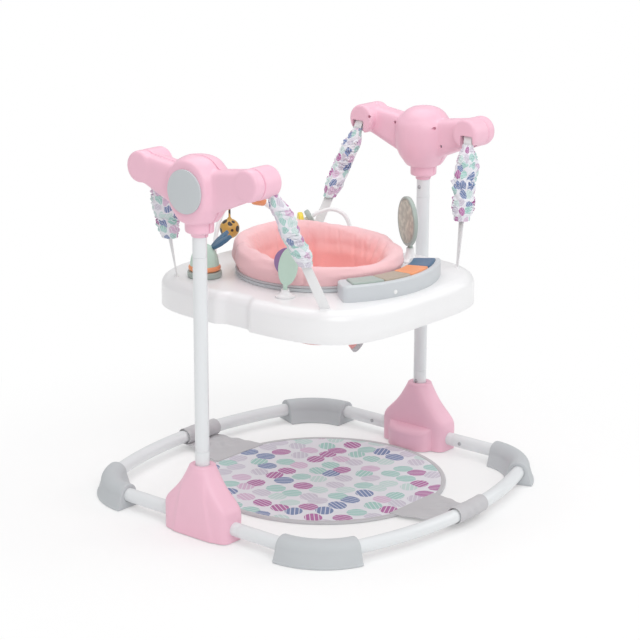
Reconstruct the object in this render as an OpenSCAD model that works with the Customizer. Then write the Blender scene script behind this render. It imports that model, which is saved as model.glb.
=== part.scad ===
// Baby jumper frame: a play tray with a turning padded seat hangs on four sprung straps
// between two posts that stand on a bent tube base.
// Left is -X, right is +X, the child faces -Y, and the floor is the plane z = 0.

/* [Tubes] */
// Distance between the centre lines of the two posts
post_spacing = 800; // [780:5:820]
// Outside diameter of every steel tube
tube_d = 32; // [30:0.5:33]
// Wall of every steel tube
tube_wall = 1.5; // [1:0.1:2]
// Length of each plug-in tube end
plug_len = 55; // [45:1:65]
// Radial gap of a plug-in end in its socket
plug_gap = 0.15; // [0.05:0.05:0.3]
// Distance of each snap button from its joint line
button_in = 26; // [20:1:32]
// Diameter of a snap button
button_d = 9; // [8:0.5:10]

/* [Base] */
// Height of the base tubes' undersides above the floor
tube_lift = 16; // [13:1:18]
// Straight length of each side of the base
side_len = 470; // [450:5:490]
// Bend radius of the base corners at the tube's centre line
corner_r = 140; // [130:2:150]
// Radius of the bowed front and back at the tube's centre line
bow_r = 900; // [850:10:950]
// Length of the side tube that each foot holds
foot_tube_len = 226; // [220:1:236]
// Width of a corner pad at the floor
pad_w = 68; // [64:1:74]
// Rubber around the tube at the top of a corner pad
pad_wall = 9; // [7:0.5:11]
// Height of the lip round the bottom of a corner pad
pad_lip_h = 5; // [3:0.5:8]

/* [Feet] */
// Length of a foot cover along the side tube
foot_len = 190; // [180:2:200]
// Thickness of a foot cover across the side tube
foot_thick = 74; // [68:1:80]
// Height of the top of a foot cover
foot_h = 163; // [155:1:172]
// Diameter of a foot cover round the post
foot_neck_d = 62; // [56:1:68]
// How far the toe stands out towards the mat
toe_out = 34; // [26:1:40]
// Width of the toe
toe_w = 128; // [110:2:140]
// Height of the toe
toe_h = 58; // [50:1:66]
// Wall of the foot covers
foot_wall = 3; // [2:0.5:4]

/* [Posts] */
// Height of the joint line between a foot and its post
foot_joint_z = 194; // [185:1:205]
// Height of the joint line between a post and its head
head_joint_z = 639; // [620:1:660]
// Length of the steel tube that each head holds
head_tube_len = 130; // [115:1:140]

/* [Heads] */
// Height of the widest level of the heads' bellies
head_z = 790; // [785:1:800]
// Radius of the belly at its widest level
belly_r = 66; // [62:1:70]
// Height of the dome above the widest level
dome_h = 75; // [70:1:80]
// Depth below the widest level at which the belly would close
belly_drop = 90; // [84:1:96]
// Depth of the belly's flat underside below the widest level
belly_floor = 71; // [66:1:74]
// Diameter of the collar under the belly
collar_d = 64; // [58:1:70]
// Height of the collar under the belly
collar_h = 25; // [20:1:30]
// Diameter of the narrow neck under the collar
neck_d = 38; // [36:0.5:42]
// Height of the narrow neck under the collar
neck_h = 11; // [8:1:14]
// Distance of the end drums from the post
arm_reach = 157; // [150:1:164]
// Diameter of the end drums
drum_d = 74; // [70:1:80]
// Height of the drums' axes above the belly's widest level
drum_rise = 30; // [26:1:34]
// Length of a drum on the outer side of the post
drum_out = 29; // [27:1:32]
// Length of a drum on the inner side of the post
drum_in = 54; // [50:1:58]
// Half thickness of an arm on its outer side
arm_out = 25; // [22:0.5:26]
// Half thickness of an arm on its inner side
arm_in = 30; // [26:0.5:33]
// Diameter of the round cap on the outer face
cap_d = 97; // [90:1:98]
// Thickness of the round cap
cap_t = 5; // [4:0.5:7]
// Distance of the cap's seat from the post's centre line
cap_seat = 43; // [42:0.5:45]

/* [Straps] */
// Width of the webbing
strap_w = 22; // [18:1:24]
// Thickness of the webbing
strap_t = 2.5; // [1.5:0.5:3]
// Distance of the strap pins from the post's centre line
pin_in = 42; // [39:1:44]
// Diameter of the strap pins
pin_d = 6; // [5:0.5:7]
// Height of the upper end of the spring covers
cover_top_z = 781; // [776:1:782]
// Height of the lower end of the spring covers
cover_low_z = 630; // [622:1:638]
// Mean outside diameter of the gathered spring covers
cover_d = 41; // [38:1:46]
// Outside diameter of the springs
spring_d = 20; // [16:1:22]
// Distance of the strap anchors from the middle of the tray, sideways
anchor_x = 242; // [236:1:246]
// Distance of the strap anchors from the middle of the tray, front and back
anchor_y = 223; // [218:1:228]

/* [Tray] */
// Width of the tray from left to right
tray_x = 596; // [590:2:610]
// Length of the tray from front to back
tray_y = 628; // [622:2:640]
// Height of the tray's lower edge
tray_z = 456; // [446:1:466]
// Height of the tray's skirt
tray_h = 72; // [66:1:78]
// Wall of the tray
tray_wall = 3; // [2.5:0.5:4]
// Diameter of the hole for the seat
seat_hole_d = 350; // [346:1:354]
// Width of the rounded edge round the top of the tray
tray_edge = 28; // [24:1:30]
// Depth of the recess that faces each post
post_recess = 14; // [8:1:18]
// Width of the recess that faces each post
post_recess_w = 104; // [90:2:120]

/* [Seat] */
// Outside diameter of the seat ring
ring_d = 384; // [380:1:388]
// Height of the seat ring above the tray
ring_h = 8; // [6:0.5:10]
// Height of the padded rim at the back of the seat
rim_back = 77; // [70:1:84]
// Height of the padded rim at the front of the seat
rim_front = 43; // [38:1:50]
// Thickness of the padded rim
rim_t = 44; // [38:1:50]
// Height of the lowest point of the seat's pocket
pocket_z = 356; // [346:1:366]
// Thickness of the pocket's padding
pocket_t = 12; // [8:1:16]
// Diameter of the leg holes
leg_hole_d = 98; // [92:1:104]

/* [Keyboard] */
// Gap between the seat's ring and the keyboard
kb_gap = 20; // [16:1:24]
// Outer radius of the keyboard, from the middle of the seat
kb_out = 284; // [278:1:285]
// Half of the angle that the keyboard spans
kb_half = 39; // [36:1:42]
// Height of the keyboard at its outer edge
kb_front_h = 37; // [34:1:42]
// Height of the keyboard at its inner edge
kb_back_h = 35; // [32:1:38]
// Travel of a key
key_travel = 4; // [2:0.5:5]
// Gap round the keys
key_gap = 0.5; // [0.3:0.1:0.8]

/* [Toys] */
// Diameter of the mirror
mirror_d = 118; // [110:1:126]
// Height of the mirror's middle above the tray
mirror_rise = 98; // [94:1:104]
// Gap between the seat's ring and the foot of the mirror
toy_gap = 22; // [18:1:26]
// Height of the leaf
leaf_h = 88; // [80:1:96]
// Width of the leaf
leaf_w = 46; // [40:1:52]
// Gap between the seat's ring and the bird's base
bird_gap = 34; // [30:1:38]
// Diameter of the bird toy's base
bird_base_d = 80; // [74:1:84]
// Diameter of the arch's rod
arch_d = 10; // [9:0.5:11]
// Distance of the arch from the middle of the seat
arch_ring_r = 281; // [278:1:283]
// Height of the arch's tall hump above the tray
arch_h = 128; // [120:1:136]
// Diameter of the disc beads
bead_d = 40; // [36:1:44]
// Thickness of the disc beads
bead_t = 12; // [10:0.5:13]
// Diameter of the hanging ball
ball_d = 48; // [44:1:52]

/* [Mat] */
// Diameter of the mat
mat_d = 580; // [570:2:586]
// Thickness of the mat
mat_t = 6; // [4:0.5:8]
// How far the mat lies to the right of the middle
mat_right = 34; // [30:1:36]
// How far the mat lies behind the middle
mat_behind = 10; // [4:1:16]
// Length of each tab's sleeve along its tube
sleeve_len = 110; // [100:2:120]
// Width of each tab where it is sewn to the mat
tab_w = 168; // [150:2:180]

/* [Hidden] */
$fn = 48;

// Overrun of every cut
over = 2;
// Gap between soft or moving pieces and what carries them
seat_gap = 0.3;
// Radial gap of a pin that turns in its hole
pin_gap = 0.06;
// Radial gap of a loose bead on the arch
bead_gap = 0.7;
// Gap of moulded covers round the straight tubes
cover_gap = 0.3;
// Gap of pads and sleeves round the bent tubes
bent_gap = 0.6;

// Colours
white = [0.95, 0.95, 0.95];
steel_white = [0.91, 0.92, 0.93];
pink = [0.97, 0.78, 0.85];
grey = [0.75, 0.77, 0.79];
steel = [0.62, 0.63, 0.65];
salmon = [0.97, 0.72, 0.73];
print_cloth = [0.86, 0.87, 0.92];
blue_grey = [0.80, 0.83, 0.86];
mint = [0.78, 0.87, 0.81];
purple = [0.62, 0.48, 0.66];
orange = [0.98, 0.65, 0.45];
blue = [0.29, 0.44, 0.55];
beige = [0.71, 0.66, 0.60];
sage = [0.66, 0.72, 0.72];
yellow = [0.94, 0.86, 0.32];
gold = [0.80, 0.65, 0.33];

// Derived sizes of the frame
post_x = post_spacing / 2;
tube_r = tube_d / 2;
tube_ir = tube_r - tube_wall;
plug_r = tube_ir - plug_gap;
plug_ir = plug_r - tube_wall;
tube_z = tube_lift + tube_r;
side_y = side_len / 2;
foot_tube_y = foot_tube_len / 2;
bow_half = asin((post_x - corner_r) / (bow_r - corner_r));
bow_y = (bow_r - corner_r) * cos(bow_half) - side_y;
bend_angle = 90 - bow_half;
tray_top = tray_z + tray_h;
ring_top = tray_top + ring_h;
// Length of the step at the root of a plug-in end
swage = 3;
// Sides and stations of the bent base tubes, and facets of a full turn of a long bend
tube_sides = 16;
corner_steps = 8;
bow_steps = 12;
bend_fn = 360;

// Sizes of the snap buttons
button_r = button_d / 2;
button_proud = 3;
button_dome = 1.5;
button_dome_share = 0.6;
button_flange_r = 6;
button_flange_t = 1.6;
button_seat = sqrt(plug_ir * plug_ir - button_flange_r * button_flange_r) - seat_gap;

// Sizes of the foot covers
foot_lift = 1;
foot_sides = 40;
foot_neck_r = foot_neck_d / 2;
foot_hole_r = tube_r + cover_gap;
foot_rim = 4;
foot_neck_land = 8;
foot_square_low = 5;
foot_square_top = 2;
// Height, spread from neck to full length, and spread from neck to full thickness
foot_shares = [
    [0, 1, 1], [0.2, 1, 1], [0.36, 1, 1], [0.45, 0.93, 0.97], [0.54, 0.74, 0.9],
    [0.64, 0.5, 0.78], [0.75, 0.29, 0.6], [0.87, 0.12, 0.3], [0.95, 0.02, 0.06]
];
// Share of the toe that is left at each height of the foot
toe_fade_share = 0.3;
// Rows of the hollow inside the foot, as places in the list of outer rows
foot_hollow_rows = 8;

// Sizes of the head shells
head_rows = 12;
head_stations = 28;
head_land = 1;
head_square = 4;
head_blend = 3;
arm_root_top = 36;
arm_tip_top = 62;
arm_tip_low = -3;
arm_fall_share = 0.42;
arm_blend = 12;
drum_round = 9;
drum_r = drum_d / 2;
drum_z = head_z + drum_rise;
cap_r = cap_d / 2;
cap_round = 1.5;
cap_gap = 0.3;
head_tube_top = head_joint_z + head_tube_len;
head_tube_gap = 0.1;
collar_top = head_z - belly_floor;
collar_low = collar_top - collar_h;
neck_low = collar_low - neck_h;
// Screws of a head: place along the arms and height over the belly's widest level
screw_ys = [arm_reach - drum_r / 2 - drum_round, belly_r, -belly_r + drum_round, -arm_reach + drum_r];
screw_zs = [drum_rise + drum_round, drum_rise, drum_rise, drum_rise + drum_round];
low_screw_y = -belly_r - drum_round;
low_screw_z = arm_tip_low - drum_round;
screw_r = 2;
screw_head_r = 3.6;
screw_head_t = 2.4;
screw_sunk = 6;
screw_tip = 12;
screw_gap = 0.1;

// Sizes of the straps
pin_r = pin_d / 2;
pin_y = arm_reach + drum_round - button_dome;
pin_z = drum_z - drum_round;
pin_len = 44;
pocket_w = 35;
pocket_floor = 12;
pocket_roof = 6;
strap_loop_gap = 0.2;
spring_r = spring_d / 2;
spring_wall = 2;
// Room for a spring that leans in its cover
spring_lean_share = 1.18;
sleeve_bore = spring_r * spring_lean_share + seat_gap;
cover_sides = 14;
cover_steps = 15;
cover_pleats = 5;
cover_waves = 4.5;
cover_ruffle_share = 0.13;
cover_end_share = 0.68;
strap_steps = 6;

// Sizes of the tray
tray_square = 4;
tray_sides = 88;
edge_steps = 4;
tray_edge_drop = 26;
tray_lip = 14;
hole_round = 2;
tray_hole_r = seat_hole_d / 2;

// Sizes of the seat
ring_slack = 1;
ring_wall = 9;
ring_hook = 3;
ring_hook_t = 4;
ring_edge = 3;
ring_r = ring_d / 2;
ring_body_r = tray_hole_r - ring_slack;
ring_ir = ring_body_r - ring_wall;
seat_sides = 44;
pocket_r = ring_ir - hole_round;
pocket_steps = 6;
seat_floor_z = ring_top + seat_gap;
pole_share = 0.03;
rim_in_r = pocket_r - rim_t / 2;
rim_base_r = ring_r - ring_edge;
// Section of the padded rim: place from its inner to its outer side, and height
rim_shares = [
    [0.96, 0], [1.02, 0.16], [1.06, 0.38], [1.04, 0.62], [0.93, 0.84], [0.74, 0.97],
    [0.5, 1], [0.24, 0.93], [0.06, 0.76], [0, 0.45]
];
leg_spread = 42;
leg_tilt = 52;
leg_rise = 66;
leg_reach = 86;
leg_len = 90;

// Sizes of the keyboard
kb_corner = 10;
kb_in = ring_r + kb_gap;
kb_steps = 20;
kb_corner_steps = 5;
kb_bevel = 4;
key_in = 8;
key_out = 12;
key_end_angle = 5;
key_depth = 7;
key_rise = 4;
key_count = 4;
kb_button_r = 5;
kb_button_angle = -103;
kb_button_rise = 12;
kb_button_len = 9;
kb_button_proud = 1.5;
kb_button_travel = 2;

// Sizes and places of the toys
mirror_angle = -26;
leaf_angle = -158;
bird_angle = 140.6;
toy_pin_r = 4;
toy_pin_len = 14;
mirror_mount_r = 24;
toy_ring_r = ring_r + toy_gap + mirror_mount_r;
bird_ring_r = ring_r + bird_gap + bird_base_d / 2;
mirror_mount_neck = 9;
mirror_mount_h = 33;
leaf_mount_r = 23;
leaf_mount_h = 17;
leaf_mount_neck = 9;
mirror_t = 11;
mirror_rim = 7;
mirror_recess = 2;
// How far the mirror stands in front of its mount
mirror_step = 7;
mirror_face_gap = 0.1;
mirror_stalk_r = 6;
leaf_t = 9;
petal_t = 6;
petal_h = 66;
petal_w = 52;
petal_cut = 18;
petal_side = 10;
petal_rise = 44;
leaf_stalk_r = 5;
leaf_rise = 26;
bird_base_h = 15;
bird_base_edge = 4;
bird_post_len = 12;
bird_ring_rise = 22;
bird_ring_big = 31;
bird_ring_small = 6.5;
bird_body_r = 34;
bird_body_h = 62;
bird_body_floor = 6;
wing_t = 9;
wing_len = 62;
wing_w = 25;
wing_tilt = 38;
wing_rise = 60;
wing_fan = 24;
// Arch: angle round the seat, and height as a share of the tall hump
arch_from = 23;
arch_to = 102;
arch_shares = [
    [0, 0.02], [0.01, 0.3], [0.05, 0.56], [0.13, 0.66], [0.22, 0.58], [0.31, 0.45], [0.42, 0.5],
    [0.52, 0.72], [0.62, 0.93], [0.73, 1], [0.84, 0.94], [0.93, 0.7], [0.985, 0.34], [1, 0.02]
];
arch_steps = 4;
arch_sides = 8;
arch_foot_r = 10;
arch_foot_h = 5;
bead_spot_share = 0.3;
bead_pitch_share = 0.06;
orange_spot_share = 0.6;
bug_spot_share = 0.84;
orange_len = 30;
orange_r = 17;
orange_tip_r = 9;
// The arch bends inside the long bead, so its bore is wider
orange_gap = 1.8;
bug_loop_t = 3;
bug_loop_w = 7;
bug_stem_r = 4;
bug_drop = 62;

// Sizes of the mat
sleeve_fn = 48;
sleeve_t = 2.5;
tab_t = 2.5;
tab_lap = 22;
tab_bar = 4;

// Shared shapes

// Joins neighbouring rings of equally many points; the rings run up the outside
function ring_faces(rings, n, closed) = [
    for (i = [0 : rings - (closed ? 1 : 2)])
        for (j = [0 : n - 1])
            let (
                a = i * n + j,
                b = i * n + (j + 1) % n,
                c = ((i + 1) % rings) * n + (j + 1) % n,
                d = ((i + 1) % rings) * n + j
            )
            each [[a, d, c], [a, c, b]]
];
function flat(rings) = [for (r = rings) each r];

// A stack of rings with a flat cap at each end
module skin(rings) {
    n = len(rings[0]);
    m = len(rings);
    caps = [[for (j = [0 : n - 1]) j], [for (j = [n - 1 : -1 : 0]) (m - 1) * n + j]];
    polyhedron(flat(rings), concat(ring_faces(m, n, false), caps));
}

// A loop of rings that closes on itself, as a tyre does
module hoop(rings) {
    polyhedron(flat(rings), ring_faces(len(rings), len(rings[0]), true));
}

function sign_pow(v, p) = sign(v) * pow(abs(v), p);
function mix(a, b, t) = a + (b - a) * t;
function unit(v) = v / norm(v);

// A point of a smooth curve through a list of points; t counts the points
function curve_at(p, t) =
    let (
        last = len(p) - 1,
        i = min(floor(t), last - 1),
        u = t - i,
        a = p[max(i - 1, 0)],
        b = p[i],
        c = p[i + 1],
        d = p[min(i + 2, last)]
    )
    0.5 * (2 * b + (c - a) * u + (2 * a - 5 * b + 4 * c - d) * u * u + (3 * b - a - 3 * c + d) * u * u * u);

// Turns +Z to a direction
module along(v) {
    rotate([0, acos(v[2] / norm(v)), atan2(v[1], v[0])]) children();
}

module pipe(l, r, ir) {
    linear_extrude(l) difference() {
        circle(r);
        circle(ir);
    }
}

// A hole for a snap button, from the tube's centre line towards +X times way
module button_hole(way) {
    rotate([0, 90 * way, 0]) cylinder(r = button_r + pin_gap, h = tube_r + over);
}

// A plug-in end along +Z with its button hole towards +X times way
module plug_end(way) {
    difference() {
        union() {
            translate([0, 0, -swage]) pipe(swage, tube_ir + tube_wall / 2, plug_ir);
            translate([0, 0, -swage]) pipe(plug_len + swage, plug_r, plug_ir);
        }
        translate([0, 0, button_in]) button_hole(way);
    }
}

// A domed button on a flange, along +Z from the tube's centre line
module snap_button() {
    tip = tube_r + button_proud;
    translate([0, 0, button_seat - button_flange_t]) cylinder(r = button_flange_r, h = button_flange_t);
    translate([0, 0, button_seat - button_flange_t])
        cylinder(r = button_r, h = tip - button_dome - button_seat + button_flange_t);
    translate([0, 0, tip - button_dome])
        cylinder(r1 = button_r, r2 = button_r * button_dome_share, h = button_dome);
}

// A disc of radius r and length l along +Z whose far edge is rounded
module rounded_disc(r, l, e) {
    rotate_extrude() {
        square([r - e, l]);
        square([r, l - e]);
        translate([r - e, l - e]) intersection() {
            circle(e);
            square([e, e]);
        }
    }
}

// Base

// Stations of a base tube's middle line from left to right: place, and angle of its outer side
base_path = concat(
    [[-post_x, -foot_tube_y, 180]],
    [for (k = [0 : corner_steps])
        let (a = 180 + bend_angle * k / corner_steps)
        [corner_r - post_x + corner_r * cos(a), -side_y + corner_r * sin(a), a]],
    [for (k = [1 : bow_steps - 1])
        let (a = mix(180 + bend_angle, 360 - bend_angle, k / bow_steps))
        [bow_r * cos(a), bow_y + bow_r * sin(a), a]],
    [for (k = [0 : corner_steps])
        let (a = 360 - bend_angle + bend_angle * k / corner_steps)
        [post_x - corner_r + corner_r * cos(a), -side_y + corner_r * sin(a), a]],
    [[post_x, -foot_tube_y, 360]]
);
function tube_ring(p, r) = [
    for (k = [0 : tube_sides - 1])
        let (u = 360 * k / tube_sides)
        [p[0] + r * sin(u) * cos(p[2]), p[1] + r * sin(u) * sin(p[2]), r * cos(u)]
];
module base_tube(f) {
    last = len(base_path) - 1;
    color(steel_white) mirror([0, f > 0 ? 1 : 0, 0]) translate([0, 0, tube_z]) difference() {
        hoop(concat(
            [for (p = base_path) tube_ring(p, tube_r)],
            [for (i = [last : -1 : 0]) tube_ring(base_path[i], tube_ir - plug_gap)]
        ));
        for (s = [-1, 1]) translate([s * post_x, -foot_tube_y, 0]) {
            translate([0, over, 0]) rotate([90, 0, 0]) cylinder(r = tube_ir, h = plug_len + 2 * over);
            translate([0, -button_in, 0]) button_hole(-s);
        }
    }
}

module foot_frame(s) {
    color(steel_white) translate([s * post_x, 0, 0]) {
        difference() {
            union() {
                translate([0, 0, tube_z]) rotate([90, 0, 0])
                    cylinder(r = tube_r, h = foot_tube_len, center = true);
                translate([0, 0, tube_z]) cylinder(r = tube_r, h = foot_joint_z - tube_z);
            }
            translate([0, 0, tube_z]) rotate([90, 0, 0])
                cylinder(r = tube_ir, h = foot_tube_len + over, center = true);
            translate([0, 0, tube_z + tube_r]) cylinder(r = tube_ir, h = foot_joint_z - tube_z);
            translate([0, 0, foot_joint_z - button_in]) button_hole(-s);
        }
        for (f = [-1, 1]) translate([0, f * foot_tube_y, tube_z]) rotate([-90 * f, 0, 0]) plug_end(-s);
    }
}

// One level of a foot cover, with +X towards the mat
function foot_ring(z, hl, ht, toe, toe_half, square) = [
    for (k = [0 : foot_sides - 1])
        let (
            a = 360 * k / foot_sides,
            y = hl * sign_pow(sin(a), 2 / square),
            x = ht * sign_pow(cos(a), 2 / square),
            v = y / toe_half
        )
        [x + (cos(a) > 0 ? toe * sqrt(max(0, 1 - v * v)) : 0), y, z]
];
function toe_left(z) =
    z < toe_h * (1 - toe_fade_share) ? 1
    : sqrt(max(0, 1 - pow((z / toe_h - 1 + toe_fade_share) / toe_fade_share, 2)));
function foot_level(row, wall) =
    let (
        z = foot_lift + row[0] * (foot_h - foot_lift),
        hl = mix(foot_neck_r, foot_len / 2, row[1]) - wall,
        ht = mix(foot_neck_r, foot_thick / 2, row[2]) - wall,
        square = mix(foot_square_top, foot_square_low, row[1])
    )
    foot_ring(z, hl, ht, toe_out * toe_left(z + wall), toe_w / 2 - wall, square);
function round_ring(z, r) = foot_ring(z, r, r, 0, toe_w / 2, foot_square_top);

module foot_cover(s) {
    outer = [for (row = foot_shares) foot_level(row, 0)];
    hollow = [for (i = [foot_hollow_rows - 1 : -1 : 0]) foot_level(foot_shares[i], foot_wall)];
    top = [
        round_ring(foot_h, foot_neck_r - foot_rim),
        round_ring(foot_h, foot_hole_r),
        round_ring(foot_h - foot_neck_land, foot_hole_r)
    ];
    color(pink) translate([s * post_x, 0, 0]) mirror([s > 0 ? 1 : 0, 0, 0]) difference() {
        hoop(concat(outer, top, hollow));
        translate([0, 0, tube_z]) rotate([90, 0, 0])
            cylinder(r = foot_hole_r, h = foot_len + over, center = true);
        translate([-foot_hole_r, -foot_len / 2 - over, -over])
            cube([2 * foot_hole_r, foot_len + 2 * over, tube_z + over]);
    }
}

// Section of a corner pad, standing on the floor with the tube hole in it
module pad_section() {
    r = tube_r + bent_gap + pad_wall;
    difference() {
        union() {
            translate([0, tube_z]) circle(r);
            polygon([[-pad_w / 2, pad_lip_h], [pad_w / 2, pad_lip_h], [r, tube_z], [-r, tube_z]]);
            translate([-pad_w / 2 - tube_wall, 0]) square([pad_w + 2 * tube_wall, pad_lip_h]);
        }
        translate([0, tube_z]) circle(tube_r + bent_gap);
    }
}

module corner_pad(s, f) {
    color(grey) mirror([s > 0 ? 1 : 0, 0, 0]) mirror([0, f > 0 ? 1 : 0, 0])
        translate([corner_r - post_x, -side_y, 0]) rotate([0, 0, 180])
            rotate_extrude(angle = bend_angle) translate([corner_r, 0]) pad_section();
}

// Posts and snap buttons

module post(s) {
    color(steel_white) translate([s * post_x, 0, foot_joint_z]) {
        pipe(head_joint_z - foot_joint_z, tube_r, tube_ir);
        translate([0, 0, head_joint_z - foot_joint_z]) plug_end(-s);
        mirror([0, 0, 1]) plug_end(-s);
    }
}

module head_tubes() {
    color(steel_white) for (s = [-1, 1]) translate([s * post_x, 0, head_joint_z]) difference() {
        pipe(head_tube_len, tube_r, tube_ir);
        translate([0, 0, button_in]) button_hole(-s);
    }
}

module post_button(s, z) {
    color(steel) translate([s * post_x, 0, z]) rotate([0, -90 * s, 0]) snap_button();
}

module base_button(s, f) {
    color(steel) translate([s * post_x, f * (foot_tube_y + button_in), tube_z])
        rotate([0, -90 * s, 0]) snap_button();
}

// Heads

// Heights are over the belly's widest level, and y runs along the arms
function belly_at(z) =
    let (v = z > 0 ? z / dome_h : z / belly_drop) belly_r * sqrt(max(0, 1 - v * v));
function belly_edge(y, h) = h * sqrt(max(0, 1 - pow(y / belly_r, 2)));
function soft_max(a, b) = (a + b + sqrt((a - b) * (a - b) + arm_blend * arm_blend)) / 2;
function arm_top(y) = mix(arm_root_top, arm_tip_top, (abs(y) - belly_r) / (arm_reach - belly_r));
function arm_low(y) = arm_tip_low - arm_fall_share * (arm_reach - abs(y));
function head_high(y) = abs(y) < belly_r ? soft_max(arm_top(y), belly_edge(y, dome_h)) : arm_top(y)
    + (soft_max(arm_top(belly_r), 0) - arm_top(belly_r)) * (arm_reach - abs(y)) / (arm_reach - belly_r);
function head_low(y) = max(-belly_floor, min(arm_low(y), -belly_edge(y, belly_drop)));
function arm_x(y, z, half) =
    let (
        mid = (arm_top(y) + arm_low(y)) / 2,
        v = abs(z - mid) / (arm_top(y) - mid)
    )
    half * pow(max(0, 1 - pow(v, head_square)), 1 / head_square);
function belly_x(y, z) = let (r = belly_at(z)) sqrt(max(0, r * r - y * y));
function head_x(y, z, half) =
    head_land + pow(pow(arm_x(y, z, half), head_blend) + pow(belly_x(y, z), head_blend), 1 / head_blend);

// Half of a head's arms and belly, grown from just behind the parting plane x = 0 towards +X
module head_form(half) {
    m = head_rows + 1;
    k = head_stations + 1;
    ys = [for (i = [0 : head_stations]) mix(-arm_reach, arm_reach, i / head_stations)];
    function height(y, j) = mix(head_low(y), head_high(y), (1 + sin(180 * j / head_rows - 90)) / 2);
    front = [for (y = ys) for (j = [0 : head_rows]) let (z = height(y, j)) [head_x(y, z, half), y, z]];
    back_low = [for (y = ys) [-over, y, height(y, 0)]];
    back_high = [for (y = ys) [-over, y, height(y, head_rows)]];
    lo = k * m;
    hi = lo + k;
    polyhedron(
        concat(front, back_low, back_high),
        concat(
            [for (i = [0 : k - 2]) for (j = [0 : m - 2]) let (a = i * m + j)
                each [[a, a + 1, a + m + 1], [a, a + m + 1, a + m]]],
            [for (i = [0 : k - 2]) each [
                [i * m, (i + 1) * m, lo + i + 1],
                [i * m, lo + i + 1, lo + i],
                [i * m + m - 1, hi + i, hi + i + 1],
                [i * m + m - 1, hi + i + 1, (i + 1) * m + m - 1]
            ]],
            [
                concat([for (i = [0 : k - 1]) lo + i], [for (i = [k - 1 : -1 : 0]) hi + i]),
                concat([for (j = [0 : m - 1]) (k - 1) * m + j], [hi + k - 1, lo + k - 1]),
                concat([for (j = [m - 1 : -1 : 0]) j], [lo, hi])
            ]
        )
    );
}

// Half of a head with +X away from the parting plane
module head_half(half, drum_len) {
    difference() {
        union() {
            head_form(half);
            translate([0, 0, collar_low - head_z]) cylinder(d = collar_d, h = collar_h + over);
            translate([0, 0, neck_low - head_z]) cylinder(d = neck_d, h = neck_h + over);
            for (f = [-1, 1]) translate([-over, f * arm_reach, drum_rise]) rotate([0, 90, 0])
                rounded_disc(drum_r, drum_len + over, drum_round);
        }
        translate([-belly_r, -arm_reach - drum_d, -belly_drop - collar_h])
            cube([belly_r, 2 * (arm_reach + drum_d), 2 * (belly_drop + collar_h)]);
        translate([0, 0, neck_low - head_z - over])
            cylinder(r = tube_r + head_tube_gap, h = head_tube_top + head_tube_gap - neck_low + over);
    }
}

// Places of a head's screws, as [y, z] over the belly's widest level
function screw_places() = concat(
    [for (i = [0 : len(screw_ys) - 1]) [screw_ys[i], screw_zs[i]]],
    [[low_screw_y, low_screw_z]]
);
function screw_face(p) = head_x(p[0], p[1], arm_in) - screw_sunk;

module head_outer(s) {
    color(pink) translate([s * post_x, 0, head_z]) mirror([s < 0 ? 1 : 0, 0, 0]) difference() {
        head_half(arm_out, drum_out);
        translate([cap_seat, 0, 0]) rotate([0, 90, 0]) cylinder(r = cap_r + cap_gap, h = belly_r);
        for (p = screw_places()) translate([-over, p[0], p[1]]) rotate([0, 90, 0])
            cylinder(r = screw_r + screw_gap, h = screw_tip + over + screw_gap);
    }
}

module head_inner(s) {
    color(pink) translate([s * post_x, 0, head_z]) mirror([s > 0 ? 1 : 0, 0, 0]) difference() {
        head_half(arm_in, drum_in);
        for (p = screw_places()) translate([0, p[0], p[1]]) rotate([0, 90, 0]) {
            translate([0, 0, -over]) cylinder(r = screw_r + screw_gap, h = belly_r);
            translate([0, 0, screw_face(p)]) cylinder(r = screw_head_r + screw_gap, h = belly_r);
        }
        for (f = [-1, 1]) {
            translate([pin_in, f * pin_y, pin_z - head_z]) rotate([90, 0, 0])
                cylinder(r = pin_r + pin_gap, h = pin_len + 2 * pin_gap, center = true);
            translate([pin_in - pocket_floor, f * pin_y - pocket_w / 2, pin_z - head_z - drum_d])
                cube([drum_in, pocket_w, drum_d + pocket_roof]);
        }
    }
}

module head_caps() {
    color(grey) for (s = [-1, 1]) translate([s * (post_x + cap_seat), 0, head_z])
        rotate([0, 90 * s, 0]) rounded_disc(cap_r, cap_t, cap_round);
}

module head_screws() {
    color(steel) for (s = [-1, 1]) translate([s * post_x, 0, head_z]) mirror([s > 0 ? 1 : 0, 0, 0])
        for (p = screw_places()) translate([0, p[0], p[1]]) rotate([0, 90, 0]) {
            translate([0, 0, -screw_tip]) cylinder(r = screw_r, h = screw_tip + screw_face(p));
            translate([0, 0, screw_face(p)]) cylinder(r = screw_head_r, h = screw_head_t);
        }
}

// Straps and springs

function strap_top(s, f) = [s * (post_x - pin_in), f * pin_y, pin_z];
function strap_low(s, f) = [s * anchor_x, f * anchor_y, tray_top + seat_gap];
function strap_at(s, f, z) =
    let (a = strap_top(s, f), b = strap_low(s, f)) mix(a, b, (a[2] - z) / (a[2] - b[2]));
// The webbing lies square to the pins at the top and turns to face outwards at the tray
function strap_ring(s, f, z) =
    let (
        p = strap_at(s, f, z),
        turn = max(0, min(1, (cover_top_z - z) / (cover_top_z - tray_top))),
        a = mix(90, 90 + s * f * 45, turn),
        w = [cos(a), sin(a)] * strap_w / 2,
        t = [sin(a), -cos(a)] * strap_t / 2
    )
    [for (c = [w + t, w - t, -w - t, t - w]) [p[0] + c[0], p[1] + c[1], z]];
module strap_run(s, f, low, high) {
    skin([for (i = [0 : strap_steps]) strap_ring(s, f, mix(low, high, i / strap_steps))]);
}

module strap_pins() {
    color(steel) for (s = [-1, 1]) for (f = [-1, 1]) translate(strap_top(s, f))
        rotate([90, 0, 0]) cylinder(r = pin_r, h = pin_len, center = true);
}

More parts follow.
